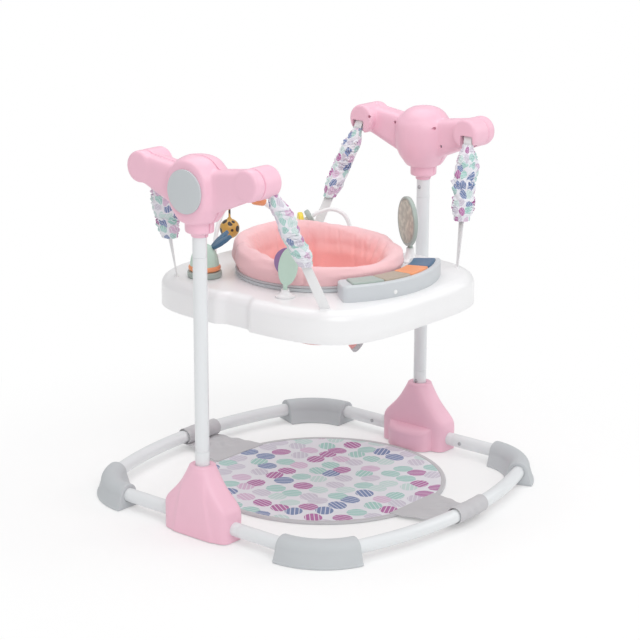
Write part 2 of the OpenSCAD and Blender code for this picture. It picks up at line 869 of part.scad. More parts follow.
module upper_straps() {
    color(white) for (s = [-1, 1]) for (f = [-1, 1]) difference() {
        union() {
            strap_run(s, f, cover_top_z, pin_z);
            translate(strap_top(s, f)) rotate([90, 0, 0])
                cylinder(r = pin_r + strap_loop_gap + strap_t, h = strap_w, center = true);
        }
        translate(strap_top(s, f)) rotate([90, 0, 0])
            cylinder(r = pin_r + strap_loop_gap, h = strap_w + over, center = true);
    }
}

module springs() {
    color(steel) for (s = [-1, 1]) for (f = [-1, 1]) {
        a = strap_at(s, f, cover_low_z);
        b = strap_at(s, f, cover_top_z);
        lean = unit(b - a);
        slack = (spring_r + seat_gap) * norm([lean[0], lean[1]]) / lean[2] + seat_gap;
        translate(a + lean * slack) along(lean) pipe(norm(b - a) - 2 * slack, spring_r, spring_r - spring_wall);
    }
}

// A gathered sleeve: pleats run round it and the gathers swell along it
function cover_ring(s, f, t, bore) =
    let (
        p = strap_at(s, f, mix(cover_low_z, cover_top_z, t)),
        ends = pow(sin(180 * t), 0.4),
        swell = mix(cover_end_share, 1, ends)
    )
    [for (k = [0 : cover_sides - 1])
        let (
            a = 360 * k / cover_sides,
            wave = sin(360 * cover_waves * t + cover_pleats * a) * ends,
            r = bore ? sleeve_bore : cover_d / 2 * swell * (1 + cover_ruffle_share * wave)
        )
        p + [r * cos(a), r * sin(a), 0]];
module spring_cover(s, f) {
    color(print_cloth) hoop(concat(
        [for (i = [0 : cover_steps]) cover_ring(s, f, i / cover_steps, false)],
        [for (t = [1, 0.5, 0]) cover_ring(s, f, t, true)]
    ));
}

module tray_straps() {
    color(white) for (s = [-1, 1]) for (f = [-1, 1])
        strap_run(s, f, tray_top + seat_gap, cover_low_z - seat_gap);
}

// Mat

module play_mat() {
    color(print_cloth) translate([mat_right, mat_behind, 0]) cylinder(d = mat_d, h = mat_t);
}

module mat_tabs() {
    sleeve_ir = tube_r + bent_gap;
    sleeve_r = sleeve_ir + sleeve_t;
    spot = asin(mat_right / bow_r);
    spread = sleeve_len / bow_r * 180 / PI;
    color(grey) for (f = [-1, 1]) mirror([0, f > 0 ? 1 : 0, 0]) {
        near = mat_d / 2 + f * mat_behind - tab_lap;
        far = bow_r - bow_y - sleeve_ir;
        translate([0, bow_y, tube_z]) rotate([0, 0, 270 + spot - spread / 2])
            rotate_extrude(angle = spread, $fn = bend_fn) translate([bow_r, 0]) difference() {
                circle(sleeve_r, $fn = sleeve_fn);
                circle(sleeve_ir, $fn = sleeve_fn);
            }
        difference() {
            hull() {
                translate([mat_right - tab_w / 2, -near, mat_t]) cube([tab_w, tab_bar, tab_t]);
                translate([mat_right - sleeve_len / 2, -far - bent_gap, tube_lift])
                    cube([sleeve_len, tab_bar, tab_t]);
            }
            translate([0, bow_y, tube_z]) rotate([0, 0, 270 - bow_half])
                rotate_extrude(angle = 2 * bow_half, $fn = bend_fn) translate([bow_r, 0])
                    circle(sleeve_ir, $fn = sleeve_fn);
        }
    }
}

// Tray

function tray_r(a) =
    let (
        c = abs(cos(a)),
        s = abs(sin(a)),
        r = pow(pow(2 * c / tray_x, tray_square) + pow(2 * s / tray_y, tray_square), -1 / tray_square)
    )
    r - (c > s ? post_recess * exp(-pow(2 * r * s / post_recess_w, tray_square)) : 0);
// Section of the tray at one angle: up the skirt, in over the top, down the hole and back below
function tray_section(a) =
    let (r = tray_r(a), w = tray_wall, e = tray_edge, d = tray_edge_drop)
    concat(
        [[r, tray_z]],
        [for (k = [0 : edge_steps]) let (u = 90 * k / edge_steps)
            [r - e + e * cos(u), tray_top - d + d * sin(u)]],
        [
            [tray_hole_r + hole_round, tray_top], [tray_hole_r, tray_top - hole_round],
            [tray_hole_r, tray_top - tray_lip], [tray_hole_r + w, tray_top - tray_lip],
            [tray_hole_r + w, tray_top - w]
        ],
        [for (k = [edge_steps : -1 : 0]) let (u = 90 * k / edge_steps)
            [r - e + (e - w) * cos(u), tray_top - d + (d - w) * sin(u)]],
        [[r - w, tray_z]]
    );
module tray() {
    sections = [for (k = [0 : tray_sides - 1]) tray_section(360 * k / tray_sides)];
    color(white) hoop([
        for (i = [0 : len(sections[0]) - 1]) [
            for (k = [0 : tray_sides - 1])
                let (a = 360 * k / tray_sides, p = sections[k][i]) [p[0] * cos(a), p[0] * sin(a), p[1]]
        ]
    ]);
}

// Seat

module seat_ring() {
    low = tray_top - tray_lip - seat_gap;
    color(grey) rotate_extrude() polygon([
        [ring_ir, low - ring_hook_t], [ring_body_r + ring_hook, low - ring_hook_t],
        [ring_body_r + ring_hook, low], [ring_body_r, low],
        [ring_body_r, tray_top + seat_gap], [ring_r, tray_top + seat_gap],
        [ring_r, ring_top - ring_edge], [ring_r - ring_edge, ring_top], [ring_ir, ring_top]
    ]);
}

function seat_rim_h(a) = (rim_back + rim_front) / 2 + (rim_back - rim_front) / 2 * sin(a);
// Section of the seat at one angle: up the outside of the pocket, over the rim, down the inside
function seat_section(a) =
    let (
        depth = seat_floor_z - pocket_z,
        rim = seat_rim_h(a),
        us = [for (k = [0 : pocket_steps]) 90 * mix(pole_share, 1, k / pocket_steps)]
    )
    concat(
        [for (u = us) [pocket_r * sin(u), seat_floor_z - depth * cos(u)]],
        [for (p = rim_shares) [mix(rim_in_r, rim_base_r, p[0]), seat_floor_z + rim * p[1]]],
        [for (k = [pocket_steps : -1 : 0])
            [rim_in_r * sin(us[k]), seat_floor_z - (depth - pocket_t) * cos(us[k])]]
    );
module seat_fabric() {
    sections = [for (k = [0 : seat_sides - 1]) seat_section(360 * k / seat_sides)];
    color(salmon) difference() {
        skin([
            for (i = [0 : len(sections[0]) - 1]) [
                for (k = [0 : seat_sides - 1])
                    let (a = 360 * k / seat_sides, p = sections[k][i]) [p[0] * cos(a), p[0] * sin(a), p[1]]
            ]
        ]);
        for (s = [-1, 1]) rotate([0, 0, s * leg_spread - 90])
            translate([leg_reach, 0, pocket_z + leg_rise]) rotate([0, 180 - leg_tilt, 0])
                cylinder(d = leg_hole_d, h = leg_len, center = true);
    }
}

// Keyboard

// Height of the sloping top over the tray
function kb_slope(r) = mix(kb_back_h, kb_front_h, (r - kb_in) / (kb_out - kb_bevel - kb_in));
module kb_sector(half) {
    rotate([0, 0, -90 - half]) rotate_extrude(angle = 2 * half) children();
}
// Points of an arc round a middle
function arc_points(mid, r, from, to, steps) = [
    for (k = [0 : steps])
        let (a = mix(from, to, k / steps))
        mid + r * [cos(a), sin(a)]
];
function polar(r, a) = r * [cos(a), sin(a)];
// Plan of the keyboard: two arcs round the seat with rounded corners
module kb_plan() {
    c = kb_corner;
    hi = kb_half - 90;
    lo = -kb_half - 90;
    out = asin(c / (kb_out - c));
    in = asin(c / (kb_in + c));
    polygon(concat(
        arc_points([0, 0], kb_out, lo + out, hi - out, kb_steps),
        arc_points(polar(kb_out - c, hi - out), c, hi - out, hi + 90, kb_corner_steps),
        arc_points(polar(kb_in + c, hi - in), c, hi + 90, hi - in + 180, kb_corner_steps),
        arc_points([0, 0], kb_in, hi - in, lo + in, kb_steps),
        arc_points(polar(kb_in + c, lo + in), c, lo + in + 180, lo + 270, kb_corner_steps),
        arc_points(polar(kb_out - c, lo + out), c, lo - 90, lo + out, kb_corner_steps)
    ));
}
module keyboard_housing() {
    pocket_half = kb_half - key_end_angle;
    r0 = kb_in + key_in - key_gap;
    r1 = kb_out - key_out + key_gap;
    sink = key_depth + key_travel + key_gap;
    color(blue_grey) translate([0, 0, tray_top]) difference() {
        intersection() {
            linear_extrude(kb_front_h + over) kb_plan();
            kb_sector(kb_half + key_end_angle) polygon([
                [kb_in - kb_bevel, -over], [kb_out + kb_bevel, -over],
                [kb_out + kb_bevel, kb_front_h - 2 * kb_bevel],
                [kb_out - kb_bevel, kb_front_h], [kb_in - kb_bevel, kb_slope(kb_in - kb_bevel)]
            ]);
        }
        kb_sector(pocket_half) polygon([
            [r0, kb_slope(r0) - sink], [r1, kb_slope(r1) - sink],
            [r1, kb_front_h + over], [r0, kb_front_h + over]
        ]);
        rotate([0, 0, kb_button_angle])
            translate([kb_out + kb_button_proud - kb_button_len - kb_button_travel - seat_gap, 0, kb_button_rise])
                rotate([0, 90, 0]) cylinder(r = kb_button_r + pin_gap, h = kb_button_len + kb_corner);
    }
}
module key(i, tint) {
    r0 = kb_in + key_in;
    r1 = kb_out - key_out;
    slit = key_gap / r0 * 180 / PI;
    span = 2 * (kb_half - key_end_angle) / key_count;
    from = -90 - kb_half + key_end_angle + i * span + slit;
    color(tint) translate([0, 0, tray_top]) rotate([0, 0, from])
        rotate_extrude(angle = span - 2 * slit) polygon([
            [r0, kb_slope(r0) - key_depth], [r1, kb_slope(r1) - key_depth],
            [r1, kb_slope(r1) + key_rise - key_gap], [r1 - key_rise, kb_slope(r1) + key_rise],
            [r0 + key_rise, kb_slope(r0) + key_rise], [r0, kb_slope(r0) + key_rise / 2]
        ]);
}
module keyboard_button() {
    color(white) translate([0, 0, tray_top]) rotate([0, 0, kb_button_angle])
        translate([kb_out + kb_button_proud - kb_button_len, 0, kb_button_rise]) rotate([0, 90, 0])
            rounded_disc(kb_button_r, kb_button_len, button_dome);
}

// Toys

module on_ring(r, a) {
    rotate([0, 0, a]) translate([r, 0, tray_top]) children();
}
// A waisted mount with a socket for a turning pin
module toy_mount(r, neck, h) {
    difference() {
        rotate_extrude() difference() {
            square([r, h]);
            translate([r, h]) polygon([
                for (k = [0 : 6]) [-(r - neck) * sin(15 * k), -(h - bird_base_edge) * cos(15 * k)],
                [neck - r, over], [over, over], [over, bird_base_edge - h]
            ]);
        }
        translate([0, 0, h - toy_pin_len - seat_gap]) cylinder(r = toy_pin_r + pin_gap, h = toy_pin_len + over);
    }
}
module toy_mounts() {
    color(white) {
        on_ring(toy_ring_r, mirror_angle) toy_mount(mirror_mount_r, mirror_mount_neck, mirror_mount_h);
        on_ring(toy_ring_r, leaf_angle) toy_mount(leaf_mount_r, leaf_mount_neck, leaf_mount_h);
    }
}

// The mirror stands upright and faces the child in the seat
module mirror_frame() {
    r = mirror_d / 2;
    stalk = mirror_rise - r + mirror_rim - mirror_mount_h - seat_gap;
    color(sage) on_ring(toy_ring_r, mirror_angle) {
        translate([mirror_t / 2 - mirror_step, 0, mirror_rise]) rotate([0, -90, 0]) difference() {
            rounded_disc(r, mirror_t, mirror_recess);
            translate([0, 0, mirror_t - mirror_recess]) cylinder(r = r - mirror_rim, h = mirror_t);
        }
        translate([0, 0, mirror_mount_h + seat_gap]) cylinder(r = mirror_stalk_r, h = stalk);
        translate([0, 0, mirror_mount_h - toy_pin_len]) cylinder(r = toy_pin_r, h = toy_pin_len + mirror_recess);
    }
}
module mirror_face() {
    color(steel) on_ring(toy_ring_r, mirror_angle)
        translate([mirror_recess - mirror_t / 2 - mirror_step, 0, mirror_rise]) rotate([0, -90, 0])
            cylinder(r = mirror_d / 2 - mirror_rim - mirror_face_gap, h = mirror_recess);
}

// A pointed oval where two circles cross, standing on its tip
module oval_2d(w, h) {
    r = (w * w + h * h) / (4 * w);
    translate([0, h / 2]) intersection() {
        translate([r - w / 2, 0]) circle(r);
        translate([w / 2 - r, 0]) circle(r);
    }
}
module upright(t) {
    translate([t / 2, 0, 0]) rotate([90, 0, -90]) linear_extrude(t) children();
}
module leaf() {
    color(mint) on_ring(toy_ring_r, leaf_angle) {
        translate([0, 0, leaf_rise]) upright(leaf_t) oval_2d(leaf_w, leaf_h);
        translate([0, 0, leaf_mount_h + seat_gap]) cylinder(r = leaf_stalk_r, h = leaf_rise);
        translate([0, 0, leaf_mount_h - toy_pin_len]) cylinder(r = toy_pin_r, h = toy_pin_len + mirror_recess);
    }
}
module petal() {
    color(purple) on_ring(toy_ring_r, leaf_angle)
        translate([-leaf_t / 2 - petal_t / 2, -petal_side, petal_rise]) upright(petal_t) difference() {
            oval_2d(petal_w, petal_h);
            translate([-petal_cut, 0]) oval_2d(petal_w, petal_h);
        }
}

module bird_base() {
    r = bird_base_d / 2;
    color(sage) on_ring(bird_ring_r, bird_angle) {
        rounded_disc(r, bird_base_h, bird_base_edge);
        cylinder(r = toy_pin_r, h = bird_base_h + bird_post_len);
    }
}
// The bird's rounded body, swollen by a gap where a wing has to clear it
module bird_dome(grow) {
    rotate_extrude() polygon([
        [0, -grow], [bird_body_r - bird_body_floor + grow, -grow],
        for (k = [0 : 8]) [
            (bird_body_r + grow) * cos(90 * k / 8) * (k == 8 ? 0 : 1),
            bird_body_floor + (bird_body_h - bird_body_floor + grow) * sin(90 * k / 8)
        ]
    ]);
}
module bird_body() {
    low = bird_base_h + seat_gap;
    color(mint) on_ring(bird_ring_r, bird_angle) translate([0, 0, low]) difference() {
        bird_dome(0);
        translate([0, 0, -over]) cylinder(r = toy_pin_r + pin_gap, h = bird_post_len + over + seat_gap);
        translate([0, 0, bird_ring_rise - low]) rotate_extrude() translate([bird_ring_big, 0])
            circle(bird_ring_small);
    }
}
module bird_ring() {
    color(orange) on_ring(bird_ring_r, bird_angle) translate([0, 0, bird_ring_rise])
        rotate_extrude() translate([bird_ring_big, 0]) circle(bird_ring_small);
}
module bird_wing() {
    color(blue) on_ring(bird_ring_r, bird_angle) difference() {
        translate([-bird_body_r / 2, 0, wing_rise]) rotate([0, wing_tilt, 0])
            for (s = [-1, 1]) rotate([0, 0, 180 + s * wing_fan - 90]) linear_extrude(wing_t) oval_2d(wing_w, wing_len);
        translate([0, 0, bird_base_h + seat_gap]) bird_dome(seat_gap);
    }
}

// The arch's middle line: points round the seat with their heights, joined by a smooth curve
arch_points = [
    for (p = arch_shares)
        let (a = mix(arch_from, arch_to, p[0]))
        [arch_ring_r * cos(a), arch_ring_r * sin(a), tray_top + arch_h * p[1]]
];
function arch_at(t) = curve_at(arch_points, t);
function arch_dir(t) = unit(arch_at(min(t + 0.05, len(arch_points) - 1)) - arch_at(max(t - 0.05, 0)));
// Place along the arch, counted in points, of a share of its angle
function arch_spot(share) =
    let (i = max([for (k = [0 : len(arch_shares) - 2]) arch_shares[k][0] <= share ? k : 0]))
    i + (share - arch_shares[i][0]) / (arch_shares[i + 1][0] - arch_shares[i][0]);
module on_arch(share) {
    t = arch_spot(share);
    translate(arch_at(t)) along(arch_dir(t)) children();
}
module toy_arch() {
    steps = (len(arch_points) - 1) * arch_steps;
    mid = mix(arch_from, arch_to, 0.5);
    color(white) {
        skin([for (i = [0 : steps])
            let (
                t = i / arch_steps,
                d = arch_dir(t),
                out = unit(cross(d, cross([cos(mid), sin(mid), 0], d))),
                up = cross(d, out)
            )
            [for (k = [0 : arch_sides - 1])
                let (a = 360 * k / arch_sides)
                arch_at(t) + arch_d / 2 * (cos(a) * out + sin(a) * up)]]);
        for (a = [arch_from, arch_to]) on_ring(arch_ring_r, a) cylinder(r = arch_foot_r, h = arch_foot_h);
    }
}
module disc_bead(share, tint) {
    color(tint) on_arch(share) translate([0, 0, -bead_t / 2]) difference() {
        rounded_disc(bead_d / 2, bead_t, bead_gap);
        translate([0, 0, -over]) cylinder(d = arch_d + 2 * bead_gap, h = bead_t + 2 * over);
    }
}
module orange_bead() {
    color(orange) on_arch(orange_spot_share) translate([0, 0, -orange_len / 2]) difference() {
        cylinder(r1 = orange_tip_r, r2 = orange_r, h = orange_len);
        translate([0, 0, -over]) cylinder(d = arch_d + 2 * orange_gap, h = orange_len + 2 * over);
    }
}
module bug_ball() {
    t = arch_spot(bug_spot_share);
    p = arch_at(t);
    loop_r = arch_d / 2 + bead_gap;
    color(gold) difference() {
        union() {
            translate([p[0], p[1], p[2] - bug_drop]) sphere(d = ball_d);
            translate([p[0], p[1], p[2] - bug_drop]) cylinder(r = bug_stem_r, h = bug_drop);
            translate(p) along(arch_dir(t)) cylinder(r = loop_r + bug_loop_t, h = bug_loop_w, center = true);
        }
        translate(p) along(arch_dir(t)) cylinder(r = loop_r, h = bug_loop_w + ball_d, center = true);
    }
}

base_tube(-1);  // front_base_tube
base_tube(1);  // back_base_tube
foot_frame(-1);  // left_foot_frame
foot_frame(1);  // right_foot_frame
foot_cover(-1);  // left_foot_cover
foot_cover(1);  // right_foot_cover
corner_pad(-1, -1);  // front_left_pad
corner_pad(1, -1);  // front_right_pad
corner_pad(-1, 1);  // back_left_pad
corner_pad(1, 1);  // back_right_pad
post(-1);  // left_post
post(1);  // right_post
head_tubes();
head_outer(-1);  // left_head_outer
head_inner(-1);  // left_head_inner
head_outer(1);  // right_head_outer
head_inner(1);  // right_head_inner
head_caps();
head_screws();
strap_pins();
upper_straps();
springs();
spring_cover(-1, -1);  // front_left_spring_cover
spring_cover(1, -1);  // front_right_spring_cover
spring_cover(-1, 1);  // back_left_spring_cover
spring_cover(1, 1);  // back_right_spring_cover
play_mat();
mat_tabs();
post_button(-1, head_joint_z + button_in);  // left_head_button
post_button(1, head_joint_z + button_in);  // right_head_button
post_button(-1, foot_joint_z - button_in);  // left_foot_button
post_button(1, foot_joint_z - button_in);  // right_foot_button
base_button(-1, -1);  // front_left_base_button
base_button(1, -1);  // front_right_base_button
base_button(-1, 1);  // back_left_base_button
base_button(1, 1);  // back_right_base_button
tray();
tray_straps();
toy_arch();
toy_mounts();
bird_base();
keyboard_housing();
seat_ring();
seat_fabric();
key(0, sage);  // grey_key
key(1, beige);  // beige_key
key(2, orange);  // orange_key
key(3, blue);  // blue_key
keyboard_button();
mirror_frame();
mirror_face();
leaf();
petal();
bird_body();
bird_wing();
bird_ring();
disc_bead(bead_spot_share + bead_pitch_share / 2, yellow);  // yellow_bead
disc_bead(bead_spot_share - bead_pitch_share / 2, sage);  // green_bead
orange_bead();
bug_ball();
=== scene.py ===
"""Looks of a baby jumper frame: smooth shells, soft goods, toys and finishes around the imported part.

Sizes are written in millimetres and become metres where a mesh is made. Left is -X, the keyboard is at -Y.
"""
from __future__ import annotations

import logging
import math
from dataclasses import dataclass
from enum import Enum
from typing import Any, Sequence

import bpy
import numpy as np
from mathutils import Matrix
from numpy.typing import NDArray

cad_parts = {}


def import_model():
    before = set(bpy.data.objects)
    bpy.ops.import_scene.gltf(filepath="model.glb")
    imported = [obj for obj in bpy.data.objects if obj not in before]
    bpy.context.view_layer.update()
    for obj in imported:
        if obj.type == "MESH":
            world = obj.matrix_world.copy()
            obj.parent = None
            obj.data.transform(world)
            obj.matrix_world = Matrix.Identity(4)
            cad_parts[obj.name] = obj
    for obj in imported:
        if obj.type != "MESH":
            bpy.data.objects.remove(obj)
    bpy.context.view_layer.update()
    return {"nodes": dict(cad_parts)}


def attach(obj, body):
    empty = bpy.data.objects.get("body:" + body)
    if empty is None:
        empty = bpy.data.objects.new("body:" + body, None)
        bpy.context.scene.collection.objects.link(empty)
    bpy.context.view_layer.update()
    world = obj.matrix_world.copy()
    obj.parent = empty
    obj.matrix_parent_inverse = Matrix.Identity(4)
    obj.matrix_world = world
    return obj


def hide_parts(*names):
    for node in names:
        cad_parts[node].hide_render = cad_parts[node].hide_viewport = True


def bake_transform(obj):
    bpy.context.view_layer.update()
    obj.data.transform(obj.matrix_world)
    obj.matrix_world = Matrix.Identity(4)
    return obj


Array = NDArray[np.float64]
Piece = bpy.types.Object
LOG = logging.getLogger("jumper")
MM = 0.001
TAU = 2 * math.pi
UP = np.array([0.0, 0.0, 1.0])
EAST = np.array([1.0, 0.0, 0.0])
SIDES = ((-1, "left"), (1, "right"))
ENDS = ((-1, "front"), (1, "back"))
CORNERS = tuple((s, f, f"{end}_{side}") for f, end in ENDS for s, side in SIDES)
# Degrees that cloth may turn at an edge before the edge is drawn sharp
SOFT = 80.0


# Curves and grids


def mix(a: Any, b: Any, t: Any) -> Any:
    """Blend from a to b by the share t."""
    return a + (b - a) * t


def smooth(x: Any, low: float, high: float) -> Array:
    """Rise from 0 at low to 1 at high with flat ends: t * t * (3 - 2 t)."""
    t = np.clip((np.asarray(x, float) - low) / (high - low), 0, 1)
    return t * t * (3 - 2 * t)


def unit(v: Any) -> Array:
    """Vectors divided by their lengths, along the last axis."""
    v = np.asarray(v, float)
    return v / np.maximum(np.linalg.norm(v, axis=-1, keepdims=True), 1e-12)


def sign_pow(v: Array, p: float) -> Array:
    """The power of a value's size, with the value's sign."""
    return np.sign(v) * np.abs(v) ** p


def catmull(points: Any, t: Array) -> Array:
    """Points of the smooth cubic through a list of points, at places t counted in list steps.

    Args:
        points: the points, one per row.
        t: places from 0 to the last index.
    Returns:
        One row per place.
    """
    p = np.asarray(points, float)
    last = len(p) - 1
    i = np.minimum(np.floor(t).astype(int), last - 1)
    u = (t - i)[:, None]
    a, b = p[np.maximum(i - 1, 0)], p[i]
    c, d = p[i + 1], p[np.minimum(i + 2, last)]
    cubic = (2 * a - 5 * b + 4 * c - d) * u**2 + (3 * b - a - 3 * c + d) * u**3
    return 0.5 * (2 * b + (c - a) * u + cubic)


def resample(points: Array, count: int, closed: bool = False) -> Array:
    """The same line with points at equal steps of its length.

    Args:
        points: the line, one point per row.
        count: how many points to give back.
        closed: whether the last point joins the first.
    Returns:
        The evenly spaced points.
    """
    p = np.vstack([points, points[:1]]) if closed else points
    s = np.concatenate([[0], np.cumsum(np.linalg.norm(np.diff(p, axis=0), axis=1))])
    at = np.linspace(0, s[-1], count, endpoint=not closed)
    return np.stack([np.interp(at, s, p[:, k]) for k in range(p.shape[1])], 1)


def fillet(corners: Any, radius: Any, steps: int = 5, closed: bool = True) -> Array:
    """A polygon whose corners are rounded by parabolas: (1-t)^2 A + 2 t (1-t) P + t^2 B.

    Args:
        corners: the corners, one per row.
        radius: the length that a rounding takes of each edge, one or one per corner.
        steps: points less one of each rounding.
        closed: whether the polygon closes; the ends of an open one stay sharp.
    Returns:
        The rounded outline.
    """
    p = np.asarray(corners, float)
    r = np.broadcast_to(np.asarray(radius, float), (len(p),))[:, None]
    before, after = np.roll(p, 1, 0) - p, np.roll(p, -1, 0) - p
    la = np.linalg.norm(before, axis=1, keepdims=True)
    lb = np.linalg.norm(after, axis=1, keepdims=True)
    a = p + before / la * np.minimum(r, la * 0.48)
    b = p + after / lb * np.minimum(r, lb * 0.48)
    t = np.linspace(0, 1, steps + 1)[None, :, None]
    curve = (1 - t) ** 2 * a[:, None] + 2 * t * (1 - t) * p[:, None] + t**2 * b[:, None]
    if not closed:
        curve[0], curve[-1] = p[0], p[-1]
    return curve.reshape(-1, p.shape[1])


def frame_of(path: Array, up: Any = UP) -> tuple[Array, Array, Array]:
    """Direction, side and rise at each point of a path; the rise stays as near to up as it can.

    Args:
        path: the points, one per row.
        up: one direction, or one per point.
    Returns:
        Three lists of unit vectors.
    """
    ahead = unit(np.gradient(path, axis=0))
    side = unit(np.cross(ahead, np.broadcast_to(up, path.shape)))
    return ahead, side, np.cross(side, ahead)


def sweep(path: Array, section: Array, up: Any = UP) -> Array:
    """A section carried along a path: P(i, j) = path_i + x_j side_i + y_j rise_i.

    Args:
        path: the points, one per row.
        section: points (x, y), or one list of them for each point of the path.
        up: where the section's y points.
    Returns:
        A grid of points.
    """
    _, side, rise = frame_of(path, up)
    s = np.broadcast_to(section, (len(path),) + section.shape[-2:])
    return path[:, None] + s[..., :1] * side[:, None] + s[..., 1:] * rise[:, None]


def circle(radius: float, count: int) -> Array:
    """Points (x, y) of a circle."""
    a = np.arange(count) * TAU / count
    return radius * np.stack([np.cos(a), np.sin(a)], 1)


def lathe(profile: Any, count: int, origin: Any = (0, 0, 0), axis: Any = UP) -> Array:
    """A profile (radius, height) turned about an axis.

    Args:
        profile: points of the profile, one row of the grid each.
        count: columns round the axis.
        origin: the place of height 0.
        axis: the direction of the height.
    Returns:
        A grid of points.
    """
    p = np.asarray(profile, float)
    n = unit(axis)
    u = unit(np.cross(n, [0, 1, 0] if abs(n[1]) < 0.9 else [1, 0, 0]))
    v = np.cross(n, u)
    ring = circle(1, count) @ np.stack([u, v])
    return np.asarray(origin, float) + p[:, :1, None] * ring + p[:, 1:2, None] * n


def rounded_disc(r: float, low: float, high: float, edge: float, dish: float = 0.0) -> Array:
    """Profile of a disc from its lower to its upper pole, with rounded edges and a dished top.

    Args:
        r: radius.
        low: height of the underside.
        high: height of the top.
        edge: size of the rounding.
        dish: how far the middle of the top is sunk, or raised where it is negative.
    Returns:
        Points (radius, height).
    """
    line = fillet([[0.02 * r, low], [r, low], [r, high], [0.02 * r, high]], edge, 6, closed=False)
    top = smooth(1 - line[:, 0] / r, 0, 0.8) * (line[:, 1] > (low + high) / 2)
    line[:, 1] -= dish * top
    return line


@dataclass
class Patch:
    """A grid of points in millimetres and how it closes.

    ring joins the last column to the first, tube the last row to the first, and first and last fan
    the end rows to a middle point. uv has one more row or column where the grid joins up.
    """

    points: Array
    ring: bool = True
    tube: bool = False
    first: bool = False
    last: bool = False
    uv: Array | None = None

    def default_uv(self) -> Array:
        """Lengths along the grid's middle row and column, as a pattern's places.

        Returns:
            A grid of (u, v) in metres.
        """
        p = self.points * MM
        rows, cols = p.shape[:2]
        across = np.vstack([p[rows // 2], p[rows // 2][:1]]) if self.ring else p[rows // 2]
        along = np.vstack([p[:, cols // 2], p[:1, cols // 2]]) if self.tube else p[:, cols // 2]
        u = np.concatenate([[0], np.cumsum(np.linalg.norm(np.diff(across, axis=0), axis=1))])
        v = np.concatenate([[0], np.cumsum(np.linalg.norm(np.diff(along, axis=0), axis=1))])
        return np.stack(np.broadcast_arrays(u[None, :], v[:, None]), -1)

    def arrays(self) -> tuple[Array, Array, Array, Array, Array]:
        """The grid as faces, turned outwards where it closes.

        Returns:
            Vertices, four-sided and three-sided faces, and the pattern places of their corners.
        """
        rows, cols = self.points.shape[:2]
        i = np.arange(rows if self.tube else rows - 1)
        j = np.arange(cols if self.ring else cols - 1)
        a, b = (x.ravel() for x in np.meshgrid(i, j, indexing="ij"))
        ci = np.stack([a, a, a + 1, a + 1], 1)
        cj = np.stack([b, b + 1, b + 1, b], 1)
        uv = self.default_uv() if self.uv is None else self.uv
        quads, quad_uv = (ci % rows) * cols + cj % cols, uv[ci, cj]
        points = self.points.reshape(-1, 3)
        tris, tri_uv = np.zeros((0, 3), int), np.zeros((0, 3, 2))
        for used, row, way in ((self.first, 0, -1), (self.last, rows - 1, 1)):
            if used:
                hub = np.full_like(j, len(points))
                ends = np.stack([hub, row * cols + j, row * cols + (j + 1) % cols], 1)
                mid = uv[row].mean(0)
                places = np.stack([np.broadcast_to(mid, (len(j), 2)), uv[row, j], uv[row, j + 1]], 1)
                tris = np.vstack([tris, ends[:, ::way]])
                tri_uv = np.vstack([tri_uv, places[:, ::way]])
                points = np.vstack([points, self.points[row].mean(0)])
        corners = np.vstack([quads[:, [0, 1, 2]], quads[:, [0, 2, 3]], tris])
        p, q, r = (points[corners[:, k]] for k in range(3))
        shut = self.ring and (self.tube or (self.first and self.last))
        if shut and np.einsum("ij,ij->", p, np.cross(q, r)) < 0:
            quads, quad_uv = quads[:, ::-1], quad_uv[:, ::-1]
            tris, tri_uv = tris[:, ::-1], tri_uv[:, ::-1]
        return points, quads, tris, quad_uv, tri_uv


def capped(points: Array) -> Patch:
    """A ring grid whose end rows are fanned shut."""
    return Patch(points, first=True, last=True)


def make_mesh(name: str, patches: Sequence[Patch], sharp: float = 40.0) -> Piece:
    """One object in metres from several grids.

    Args:
        name: the piece's name.
        patches: the grids.
        sharp: edges that turn by more degrees than this are drawn sharp.
    Returns:
        The object, which sits at the origin.
    """
    points, quads, tris, quad_uv, tri_uv = [], [], [], [], []
    start = 0
    for patch in patches:
        p, q, t, qu, tu = patch.arrays()
        points.append(p)
        quads.append(q + start)
        tris.append(t + start)
        quad_uv.append(qu.reshape(-1, 2))
        tri_uv.append(tu.reshape(-1, 2))
        start += len(p)
    v, q, t = np.vstack(points) * MM, np.vstack(quads), np.vstack(tris)
    mesh = bpy.data.meshes.new(name)
    mesh.vertices.add(len(v))
    mesh.vertices.foreach_set("co", v.astype(np.float32).ravel())
    loops = np.concatenate([q.ravel(), t.ravel()]).astype(np.int32)
    mesh.loops.add(len(loops))
    mesh.loops.foreach_set("vertex_index", loops)
    starts = np.concatenate([np.arange(len(q)) * 4, len(q) * 4 + np.arange(len(t)) * 3])
    mesh.polygons.add(len(starts))
    mesh.polygons.foreach_set("loop_start", starts.astype(np.int32))
    mesh.polygons.foreach_set("use_smooth", np.ones(len(starts), bool))
    places = mesh.uv_layers.new(name="UVMap")
    places.data.foreach_set("uv", np.vstack(quad_uv + tri_uv).astype(np.float32).ravel())
    mesh.update(calc_edges=True)
    mesh.set_sharp_from_angle(angle=math.radians(sharp))
    piece = bpy.data.objects.new(name, mesh)
    bpy.context.scene.collection.objects.link(piece)
    return piece


def settle(piece: Piece, sharp: float = 40.0) -> None:
    """Turn a piece's modifiers into its mesh and mark the edges that stay sharp.

    Args:
        piece: the object.
        sharp: edges that turn by more degrees than this are drawn sharp.
    """
    graph = bpy.context.evaluated_depsgraph_get()
    done = bpy.data.meshes.new_from_object(piece.evaluated_get(graph))
    piece.modifiers.clear()
    old = piece.data
    piece.data = done
    bpy.data.meshes.remove(old)
    done.polygons.foreach_set("use_smooth", np.ones(len(done.polygons), bool))
    done.set_sharp_from_angle(angle=math.radians(sharp))


